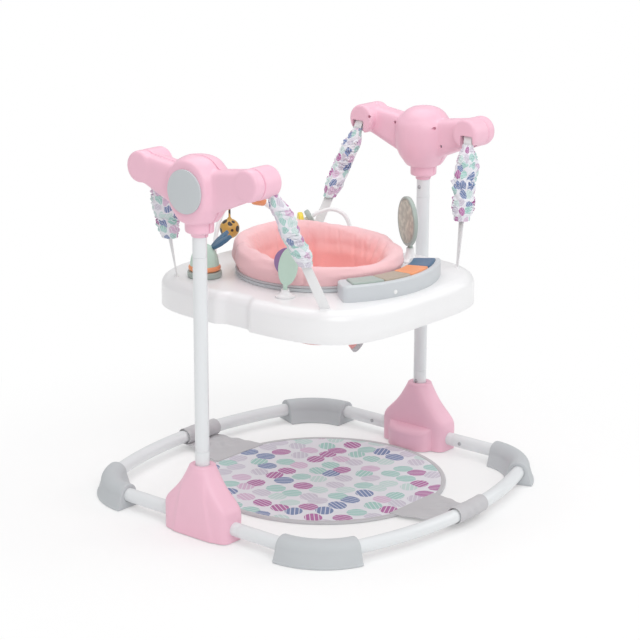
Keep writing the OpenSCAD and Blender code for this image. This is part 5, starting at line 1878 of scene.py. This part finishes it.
@dataclass
class Keyboard(Assembly):
    """A sloping housing on the tray's front with four keys in a channel and a round button."""

    tray_top: float = 528.0
    r_in: float = 212.0
    r_out: float = 284.0
    half: float = 39.0
    low_h: float = 35.0
    high_h: float = 37.0
    corner: float = 12.0
    channel: tuple = (219.5, 272.5)
    channel_half: float = 34.0
    sink: float = 11.5
    key_r: tuple = (220.0, 272.0)
    key_span: float = 17.0
    key_from: float = -124.0
    key_gap: float = 0.9
    key_steps: tuple = ((0, -7), (0, 2.2), (0.5, 3.2), (1.6, 3.9), (3.2, 4.2), (9, 4.0), (16, 3.7))
    button_angle: float = -103.0
    button_out: float = 276.5
    button_z: float = 12.0
    button_r: float = 5.0
    button_t: float = 9.0
    keys: tuple = (("grey_key", "sage_plastic"), ("beige_key", "beige_plastic"),
                   ("orange_key", "orange_plastic"), ("blue_key", "blue_plastic"))

    @property
    def mid_r(self) -> float:
        """Radius of the housing's middle line."""
        return (self.r_in + self.r_out) / 2

    def slope(self, r: Any) -> Any:
        """Height of the top at a radius."""
        return mix(self.low_h, self.high_h, (r - self.r_in) / (self.r_out - 4 - self.r_in))

    def housing(self) -> Patch:
        """Stations along the angle; each section goes round the block and down into the channel.

        Returns:
            The closed grid.
        """
        span = math.radians(self.half) * self.mid_r
        c = self.corner
        ease = c * (1 - np.cos(np.linspace(0, math.pi / 2, 8)))
        gate = math.radians(self.half - self.channel_half) * self.mid_r
        mid = np.concatenate([[gate - 0.3, gate + 0.3], np.linspace(gate + 4, 2 * span - gate - 4, 60),
                              [2 * span - gate - 0.3, 2 * span - gate + 0.3]])
        at = np.concatenate([ease, mid, 2 * span - ease[::-1]])
        near = np.minimum(at, 2 * span - at)
        draw = c - np.sqrt(np.clip(c**2 - np.clip(c - near, 0, c) ** 2, 0, None))
        r0, r1 = self.r_in + draw, self.r_out - draw
        drop = 0.45 * draw
        open_ = (near > gate).astype(float)
        k0, k1 = self.channel
        top0, top1 = self.slope(r0) - drop, self.slope(r1 - 4) - drop
        m0, m1 = np.clip(k0, r0 + 1, r1 - 6), np.clip(k1, r0 + 2, r1 - 5)
        t0, t1 = self.slope(m0) - drop, self.slope(m1) - drop
        f0, f1 = t0 - self.sink * open_, t1 - self.sink * open_
        zero = 0 * at
        r = [r0, r1, r1, r1 - 0.6, r1 - 3.4, r1 - 5, m1, m1, m0, m0, r0 + 3, r0 + 0.8, r0]
        z = [zero, zero, top1 - 7, top1 - 3.4, top1 - 0.6, top1 - 0.2, t1, f1, f0, t0,
             top0 + 0.3, top0 - 0.8, top0 - 3]
        r, z = np.stack(r, 1), np.stack(z, 1)
        a = (at / self.mid_r - math.radians(self.half) - math.pi / 2)[:, None]
        points = np.stack([r * np.cos(a), r * np.sin(a), self.tray_top + z], -1)
        return capped(points)

    def key(self, i: int) -> Patch:
        """A key: a rounded plan in angle and radius, a crowned top and eased edges.

        Args:
            i: the key's number from the left.
        Returns:
            The closed grid.
        """
        r0, r1 = self.key_r
        span = math.radians(self.key_span)
        start = math.radians(self.key_from + self.key_span * i)
        mid_r = (r0 + r1) / 2
        w, h = span * mid_r / 2 - self.key_gap, (r1 - r0) / 2
        plan = resample(fillet([[-w, -h], [w, -h], [w, h], [-w, h]], 5, 6), 96, closed=True)
        rows = []
        for inset, lift in self.key_steps:
            p = plan * (1 - inset / np.array([w, h]))
            r = mid_r + p[:, 1]
            a = start + span / 2 + p[:, 0] / mid_r
            rows.append(np.stack([r * np.cos(a), r * np.sin(a), self.tray_top + self.slope(r) + lift], 1))
        return capped(np.array(rows))

    def build(self) -> None:
        """Make the housing, the keys and the button."""
        self.make("keyboard_block", [self.housing()], "pale_plastic", "tray", "keyboard_housing", sharp=34)
        for i, (name, slot) in enumerate(self.keys):
            self.make(f"{name}_cap", [self.key(i)], slot, name, name, sharp=50)
        a = math.radians(self.button_angle)
        out = np.array([math.cos(a), math.sin(a), 0])
        at = out * self.button_out + UP * (self.tray_top + self.button_z)
        button = turned(rounded_disc(self.button_r, 0, self.button_t, 1.6, -0.6), at, out, 40)
        self.make("round_button", [button], "white_plastic", "keyboard_button", "keyboard_button")


@dataclass
class Toys(Assembly):
    """The tray's toys: mirror, leaf, bird, and an arch with beads and a hanging ball."""

    tray_top: float = 528.0
    ring_r: float = 238.0
    bird_ring_r: float = 266.0
    mirror_angle: float = -26.0
    mirror_turn: float = -7.0
    leaf_angle: float = -158.0
    leaf_lean: float = 9.0
    bird_angle: float = 140.6
    arch_r: float = 281.0
    arch_h: float = 128.0
    arch_from: float = 23.0
    arch_to: float = 102.0
    rod_r: float = 5.0
    arch_shares: tuple = ((0, 0), (0.01, 0.3), (0.05, 0.56), (0.13, 0.66), (0.22, 0.58), (0.31, 0.45),
                          (0.42, 0.5), (0.52, 0.72), (0.62, 0.93), (0.73, 1), (0.84, 0.94), (0.93, 0.7),
                          (0.985, 0.34), (1, 0))
    mirror_rise: float = 98.0
    mirror_ring: tuple = ((0.3, 0), (59, 0), (59, 11), (52.5, 11), (52, 9), (0.3, 8.8))
    mirror_rounds: tuple = (0, 4, 3.5, 2, 0.6, 0)
    mirror_stalk: tuple = ((0.3, 0), (6.6, 0), (6, 4), (6, 20), (9, 30), (0.3, 30))
    mirror_joint: float = 33.3
    glass_r: float = 51.8
    glass_in: float = 8.9
    leaf_half: tuple = (22.5, 44.0)
    leaf_rise: float = 26.0
    leaf_stalk: tuple = ((0.3, 0), (5.4, 0), (5, 3), (5, 18), (0.3, 20))
    leaf_joint: float = 17.3
    petal: tuple = (52.0, 66.0, 18.0)
    bird_base: tuple = (40.0, 15.0)
    bird_dome: tuple = (34.0, 56.0)
    bird_foot: tuple = ((0.3, 0), (26, 0), (31, 1.6), (33.4, 4))
    bird_joint: float = 15.3
    hoop_r: float = 31.0
    hoop_z: float = 22.0
    hoop_thick: float = 6.5
    wing: tuple = (25.0, 62.0, 9.0)
    wing_tilt: float = 38.0
    wing_fan: float = 24.0
    beads: tuple = (("yellow_bead", "yellow_plastic", (184.357, 211.947, 585.067), (-0.761, 0.648, -0.018)),
                    ("green_bead", "sage_plastic", (201.441, 196.059, 591.766), (-0.603, 0.622, -0.499)))
    bead_r: float = 20.0
    bead_half: float = 6.0
    cone: tuple = ((0.3, -15), (9, -15), (17, 9), (17, 15), (0.3, 15))
    cone_rounds: tuple = (0, 3, 8, 4, 0)
    cone_at: tuple = (94.495, 264.679, 642.831)
    cone_way: tuple = (-0.807, 0.285, 0.518)
    hook_at: tuple = (3.139, 280.982, 648.32)
    hook_way: tuple = (-0.896, 0.021, -0.444)
    hook_r: float = 7.2
    hook_half: tuple = (1.5, 3.5)
    ball_r: float = 24.0
    ball_drop: float = 62.0
    ball_stem: tuple = ((0.3, 0), (6, 0), (5, 3), (2.6, 6), (2.6, 30), (0.3, 32))
    stem_drop: float = 39.5

    def axes(self, r: float, angle: float) -> tuple[Array, Array, Array]:
        """Foot, outward direction and sideways direction of a toy on the tray."""
        a = math.radians(angle)
        out = np.array([math.cos(a), math.sin(a), 0])
        return r * out + self.tray_top * UP, out, np.cross(UP, out)

    def mount(self, r: float, neck: float, h: float, at: Array) -> Patch:
        """A waisted mount: a quarter of an ellipse turned about the upright axis.

        Args:
            r: radius of its foot.
            neck: radius of its top.
            h: height.
            at: the middle of its foot.
        Returns:
            The closed grid.
        """
        u = np.radians(np.linspace(0, 90, 14))
        waist = np.stack([r - (r - neck) * np.sin(u), h - (h - 4) * np.cos(u)], 1)
        profile = np.vstack([[[0.3, 0], [r - 0.8, 0], [r, 0.8], [r, 3.2]], waist, [[0.3, h]]])
        return turned(profile, at)

    def mirror(self) -> None:
        """Make the mirror's frame with its stalk, and the mirror face."""
        foot, out, _ = self.axes(self.ring_r, self.mirror_angle)
        mid = foot + self.mirror_rise * UP - 1.5 * out
        turn = math.radians(self.mirror_angle + self.mirror_turn)
        out = np.array([math.cos(turn), math.sin(turn), 0])
        ring = fillet(self.mirror_ring, self.mirror_rounds, 6, closed=False)
        stalk = turned(self.mirror_stalk, foot + self.mirror_joint * UP, UP, 40)
        self.make("mirror_rim", [turned(ring, mid, -out, 96), stalk],
                  "sage_plastic", "mirror", "mirror_frame")
        glass = turned(rounded_disc(self.glass_r, 0, 2, 0.5, -0.6), mid - self.glass_in * out, -out, 96)
        self.make("mirror_disc", [glass], "mirror_film", "mirror", "mirror_face")

    def oval(self, w: float, h: float, count: int = 60) -> tuple[Array, Array]:
        """A pointed oval where two circles cross, standing on its tip.

        Args:
            w: width.
            h: height.
            count: points of one edge.
        Returns:
            Heights and left edge.
        """
        r = (w * w + h * h) / (4 * w)
        z = h / 2 * (1 - np.cos(np.linspace(0.04, math.pi - 0.04, count)))
        return z, (r - w / 2) - np.sqrt(r * r - (z - h / 2) ** 2)

    def leaf(self) -> None:
        """Make the oval leaf with its stalk and the crescent on its front."""
        foot, out, side = self.axes(self.ring_r, self.leaf_angle)
        a = np.arange(96) * TAU / 96
        half_w, half_h = self.leaf_half
        plan = np.stack([half_w * np.cos(a), half_h + half_h * np.sin(a)], 1)
        tilt = math.radians(self.leaf_lean)
        x = -side * math.cos(tilt) + UP * math.sin(tilt)
        y = UP * math.cos(tilt) + side * math.sin(tilt)
        plate = lump(slab(plan, -4.5, 4.5, 3.6, 6), foot + self.leaf_rise * UP, x, y, out)
        stalk = turned(self.leaf_stalk, foot + self.leaf_joint * UP, UP, 32)
        self.make("leaf_plate", [plate, stalk], "mint_plastic", "leaf_toy", "leaf", sharp=50)
        wide, high, thick = self.petal
        z, left = self.oval(wide, high)
        inner = np.minimum(np.maximum(-left - thick, left), -left - 0.6)
        plan = np.vstack([np.stack([-left, z], 1), np.stack([inner, z], 1)[::-1]])
        at = foot + self.leaf_rise * UP + 18 * y + 10 * x - 7.5 * out
        crescent = lump(slab(plan, -3, 3, 1.6), at, x, y, out)
        self.make("crescent", [crescent], "purple_plastic", "leaf_toy", "petal", sharp=60)

    def bird(self) -> None:
        """Make the bird's base, body, ring and two feathered wings."""
        foot, out, side = self.axes(self.bird_ring_r, self.bird_angle)
        r, high = self.bird_base
        self.make("bird_foot", [turned(rounded_disc(r, 0, high, 4.5), foot, UP, 80)],
                  "sage_plastic", "tray", "bird_base")
        u = np.radians(np.linspace(0, 89, 30))
        r, high = self.bird_dome
        dome = np.stack([r * np.cos(u) ** 0.92, 6 + high * np.sin(u)], 1)
        profile = np.vstack([self.bird_foot, dome])
        self.make("bird_shape", [turned(profile, foot + self.bird_joint * UP)],
                  "mint_plastic", "bird", "bird_body")
        a = np.arange(96) * TAU / 96
        r = self.hoop_r
        line = foot + np.stack([r * np.cos(a), r * np.sin(a), np.full(96, self.hoop_z)], 1)
        self.make("bird_hoop", [hoop(line, circle(self.hoop_thick, 24))],
                  "orange_plastic", "bird", "bird_ring")
        tilt = math.radians(self.wing_tilt)
        along = -out * math.cos(tilt) + UP * math.sin(tilt)
        rise = out * math.sin(tilt) + UP * math.cos(tilt)
        wings = []
        for s in (-1, 1):
            fan = math.radians(self.wing_fan * s)
            ahead = along * math.cos(fan) + side * math.sin(fan)
            across = np.cross(rise, ahead)
            wide, long, thick = self.wing
            z, left = self.oval(wide, long, 80)
            notch = 1.5 * np.abs(np.sin(np.linspace(0, 5 * math.pi, 80))) * smooth(z, 20, 40)
            plan = np.vstack([np.stack([z, left - notch], 1), np.stack([z, -left + notch], 1)[::-1]])
            wings.append(lump(slab(plan, 0, thick, 2.6), foot - 17 * out + 60 * UP, ahead, across, rise))
        self.make("bird_feathers", wings, "blue_plastic", "bird", "bird_wing", sharp=50)

    def arch_path(self) -> Array:
        """Middle line of the arch: a smooth curve through points round the seat."""
        p = np.array(self.arch_shares)
        a = np.radians(mix(self.arch_from, self.arch_to, p[:, 0]))
        high = self.tray_top + self.arch_h * p[:, 1]
        line = np.stack([self.arch_r * np.cos(a), self.arch_r * np.sin(a), high], 1)
        return catmull(line, np.linspace(0, len(p) - 1, 400))

    def arch(self) -> None:
        """Make the arch, its feet, the beads and the ball."""
        path = resample(self.arch_path(), 220)
        mid = math.radians((self.arch_from + self.arch_to) / 2)
        bar = rod(path, self.rod_r, 0.8, 216, (math.cos(mid), math.sin(mid), 0), 24)
        feet = [turned(rounded_disc(10, 0, 5, 1.5), (*path[k, :2], self.tray_top), UP, 40) for k in (0, -1)]
        self.make("arch_bar", [bar, *feet], "white_plastic", "tray", "toy_arch")
        for name, slot, at, way in self.beads:
            shape = turned(rounded_disc(self.bead_r, -self.bead_half, self.bead_half, 3.4), at, way, 72)
            self.make(f"{name}_disc", [shape], slot, name, name)
        cone = fillet(self.cone, self.cone_rounds, 6, closed=False)
        self.make("orange_bead_cone", [turned(cone, self.cone_at, self.cone_way, 72)],
                  "orange_plastic", "orange_bead", "orange_bead")
        hook = np.array(self.hook_at)
        u = np.radians(np.linspace(-89, 89, 40))
        round_ = np.stack([self.ball_r * np.cos(u), self.ball_r * np.sin(u)], 1)
        ball = [turned(round_, hook - self.ball_drop * UP, UP, 72)]
        ball.append(turned(self.ball_stem, hook - self.stem_drop * UP, UP, 32))
        way = unit(self.hook_way)
        flat = lathe([[self.hook_r, 0]], 48, hook, way)[0]
        x, y = self.hook_half
        ball.append(hoop(flat, fillet([[-x, -y], [x, -y], [x, y], [-x, y]], 1, 3), way))
        self.make("spotted_ball", ball, "gold_plastic", "bug", "bug_ball")

    def build(self) -> None:
        """Make all toys."""
        mirror, _, _ = self.axes(self.ring_r, self.mirror_angle)
        leaf, _, _ = self.axes(self.ring_r, self.leaf_angle)
        mounts = [self.mount(24, 9, 33, mirror), self.mount(23, 9, 17, leaf)]
        self.make("waisted_mounts", mounts, "white_plastic", "tray", "toy_mounts")
        self.mirror()
        self.leaf()
        self.bird()
        self.arch()


# Mat


@dataclass
class Mat(Assembly):
    """A round padded mat with a bound edge, held to the base tubes by two cloth tabs."""

    r: float = 290.0
    thick: float = 6.0
    x: float = 34.0
    y: float = 10.0
    tab_half: float = 84.0
    sleeve_half: float = 55.0
    lap: float = 22.0
    tube_z: float = 32.0
    sleeve_r: float = 18.4
    bow_r: float = 900.0
    bow_y: float = 479.143
    tab_t: float = 1.8
    crease: float = 1.6
    wrap: float = 1.6
    wrap_end: float = -408.0
    binding: tuple = ((-7, -3.4), (5, -3.4), (5, 3.6), (-7, 3.6))
    binding_z: float = 3.6

    def pad(self) -> Patch:
        """The mat: rings out over the top with a soft quilting, round the edge and back below."""
        a = np.arange(240) * TAU / 240
        rr = np.concatenate([np.linspace(3, self.r - 3, 70), [self.r - 0.8, self.r, self.r - 0.8],
                             np.linspace(self.r - 3, 3, 12)])[:, None]
        zz = np.concatenate([np.full(70, self.thick), [self.thick - 1, 3, 0.8], np.full(12, 0.3)])[:, None]
        top = (zz >= self.thick) * smooth(self.r - rr, 2, 30)
        rng = np.random.default_rng(4)
        x, y = rr * np.cos(a) / 600, rr * np.sin(a) / 600
        soft = sum(np.sin(TAU * (p * x + q * y) + w) for p, q, w in rng.uniform(-4, 4, (8, 3)))
        z = np.broadcast_to(zz, x.shape) + 0.35 * soft * top
        points = np.stack([self.x + rr * np.cos(a), self.y + rr * np.sin(a), z], -1)
        return Patch(points, first=True, last=True, uv=planar_uv(points))

    def tab(self, f: int) -> Patch:
        """A tab: from the mat's edge out to the tube, round it and back to its own inner side.

        Args:
            f: -1 in front, 1 behind.
        Returns:
            The open sheet.
        """
        u = np.linspace(-1, 1, 48)[None]
        start = -(self.r + f * self.y - self.lap)
        v = np.linspace(0, 1, 40)[:, None]
        w = mix(self.tab_half, self.sleeve_half, smooth(v, 0.0, 0.95))
        x = self.x + u * w
        tube = self.bow_y - np.sqrt(self.bow_r**2 - x**2)
        y = mix(start, tube, v)
        rng = np.random.default_rng(7 + f)
        crease = ripple(rng, (u + 1) / 2, v, 6, 1, 4)
        z = mix(self.thick + 1.2, self.tube_z - self.sleeve_r, smooth(v, 0.05, 1))
        z = z + self.crease * crease * smooth(v, 0.1, 0.5) * (1 - smooth(v, 0.8, 1))
        flap = np.stack([x, y, z], -1)
        turn = np.radians(np.linspace(-90, self.wrap_end, 60))[1:, None]
        v = np.linspace(0, 1, 59)[:, None]
        xs = self.x + u * self.sleeve_half
        grow = self.sleeve_r + self.wrap * v + 0.5 * ripple(rng, (u + 1) / 2, v, 5, 1, 4)
        mid = self.bow_y - np.sqrt(self.bow_r**2 - xs**2)
        out, rise = grow * np.cos(turn), grow * np.sin(turn)
        wrap = np.stack(np.broadcast_arrays(xs, mid + out, self.tube_z + rise), -1)
        points = np.concatenate([flap, wrap]) * [1, -f, 1]
        return Patch(points, ring=False)

    def build(self) -> None:
        """Make the mat, its binding and its tabs."""
        mat = self.make("mat_pad", [self.pad()], "print_cloth", "frame", "play_mat", sharp=SOFT)
        a = np.arange(240) * TAU / 240
        high = np.full(240, self.binding_z)
        line = np.stack([self.x + self.r * np.cos(a), self.y + self.r * np.sin(a), high], 1)
        self.make("mat_binding", [hoop(line, fillet(self.binding, 3, 4))], "grey_cloth", "frame", sharp=SOFT)
        for f, name in ENDS:
            tab = make_mesh(f"{name}_tab", [self.tab(f)], SOFT)
            area = thicken(tab, self.tab_t, 0)
            self.finishes.dress(tab, "grey_cloth", "frame", "mat_tabs")


# Studio


@dataclass
class Studio:
    """A pale floor, soft light and the photo's camera.

    A lamp has a name, a place and an aim in metres, a size in metres and a power in watts. The glow's reach
    is in metres too.
    """

    lamps: tuple = (("key", (-2.2, -2.6, 3.2), (0, 0, 0.4), 2.6, 62),
                    ("fill", (2.8, -2.2, 2.2), (0, 0, 0.4), 2.6, 26),
                    ("top", (0.2, 0.6, 3.4), (0, 0, 0), 3.0, 40))
    floor_half: float = 6000.0
    floor_z: float = -0.4
    floor_tone: float = 0.985
    near_glow: float = 0.3
    glow_from: float = 0.4
    glow_to: float = 1.2
    ambient: float = 0.52
    lens: float = 114.27
    sensor: float = 36.0
    right: tuple = (0.64151559, -0.76710207, 0.00348771)
    up: tuple = (0.20810167, 0.17840466, 0.96169926)
    back: tuple = (-0.73834372, -0.61621927, 0.27408459)
    eye: tuple = (-3.50931, -2.93454, 1.71386)

    def build(self) -> None:
        """Make floor, world, lights and camera."""
        self.floor()
        self.world()
        for lamp in self.lamps:
            self.light(*lamp)
        self.camera()

    def floor(self) -> None:
        """A plain floor that keeps the shadow and glows white further out, for all but diffuse light."""
        h, z = self.floor_half, self.floor_z
        corners = np.array([[[-h, -h, z], [h, -h, z]], [[-h, h, z], [h, h, z]]])
        floor = make_mesh("floor", [Patch(corners, ring=False)])
        g = Graph("floor_white")
        g.set(Base_Color=colour((self.floor_tone,) * 3), Roughness=0.9, Specular_IOR_Level=0.05)
        far = g.length(g.place())
        glow = g.add("ShaderNodeEmission", {}, {"Color": (1, 1, 1, 1), "Strength": 1.0})[0]
        plain = Value(g, g.shader.outputs[0])
        path = g.add("ShaderNodeLightPath", {}, {})
        seen = path["Is Camera Ray"] + path["Is Glossy Ray"] + path["Is Transmission Ray"]
        far_glow = (1 - self.near_glow) * far.step(self.glow_from, self.glow_to)
        share = seen.step(0, 1) * (self.near_glow + far_glow)
        whole = g.add("ShaderNodeMixShader", {}, {0: share, 1: plain, 2: glow})[0]
        g.feed(g.tree.nodes["Material Output"].inputs["Surface"], whole)
        floor.data.materials.append(g.material)

    def world(self) -> None:
        """Even light all round; rays from the camera and through glass see plain white."""
        world = bpy.data.worlds.new("studio")
        world.use_nodes = True
        bpy.context.scene.world = world
        tree = world.node_tree
        back = tree.nodes["Background"]
        seen = tree.nodes.new("ShaderNodeLightPath")
        most = tree.nodes.new("ShaderNodeMath")
        most.operation = "MAXIMUM"
        tree.links.new(seen.outputs["Is Camera Ray"], most.inputs[0])
        tree.links.new(seen.outputs["Is Transmission Ray"], most.inputs[1])
        span = tree.nodes.new("ShaderNodeMapRange")
        span.inputs["To Min"].default_value = self.ambient
        span.inputs["To Max"].default_value = 1.0
        tree.links.new(most.outputs[0], span.inputs[0])
        tree.links.new(span.outputs[0], back.inputs["Strength"])
        back.inputs["Color"].default_value = (1, 1, 1, 1)

    def light(self, name: str, at: tuple, to: tuple, size: float, watts: float) -> None:
        """A square area light, turned to a point.

        Args:
            name: its name.
            at: its place in metres.
            to: the point it faces.
            size: its side in metres.
            watts: its power.
        """
        lamp = bpy.data.lights.new(name, "AREA")
        lamp.size = size
        lamp.energy = watts
        holder = bpy.data.objects.new(name, lamp)
        aim = unit(np.array(to, float) - np.array(at, float))
        side = unit(np.cross(aim, UP))
        rows = np.stack([side, np.cross(side, aim), -aim], 1)
        turn = np.eye(4)
        turn[:3, :3] = rows
        turn[:3, 3] = at
        holder.matrix_world = Matrix(turn.tolist())
        bpy.context.scene.collection.objects.link(holder)

    def camera(self) -> None:
        """The camera that was solved from the photo."""
        lens = bpy.data.cameras.new("camera")
        lens.lens = self.lens
        lens.sensor_width = self.sensor
        eye = bpy.data.objects.new("camera", lens)
        turn = np.eye(4)
        turn[:3] = np.stack([self.right, self.up, self.back, self.eye], 1)
        eye.matrix_world = Matrix(turn.tolist())
        bpy.context.scene.collection.objects.link(eye)
        bpy.context.scene.camera = eye
        bpy.context.scene.view_settings.view_transform = "Standard"


BARE = (*(f"{side}_{place}_button" for place in ("head", "foot") for _, side in SIDES),
        *(f"{corner}_base_button" for _, _, corner in CORNERS), "head_screws", "strap_pins")


def main() -> None:
    """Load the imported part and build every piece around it."""
    logging.basicConfig(level=logging.INFO)
    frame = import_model()
    finishes = Finishes()
    for kind in (Base, Foot, Head, Suspension, Tray, Seat, Keyboard, Toys, Mat):
        kind(finishes).build()
    for name in BARE:
        finishes.paint(frame["nodes"][name], "bare_steel")
    Studio().build()


if __name__ == "__main__":
    main()
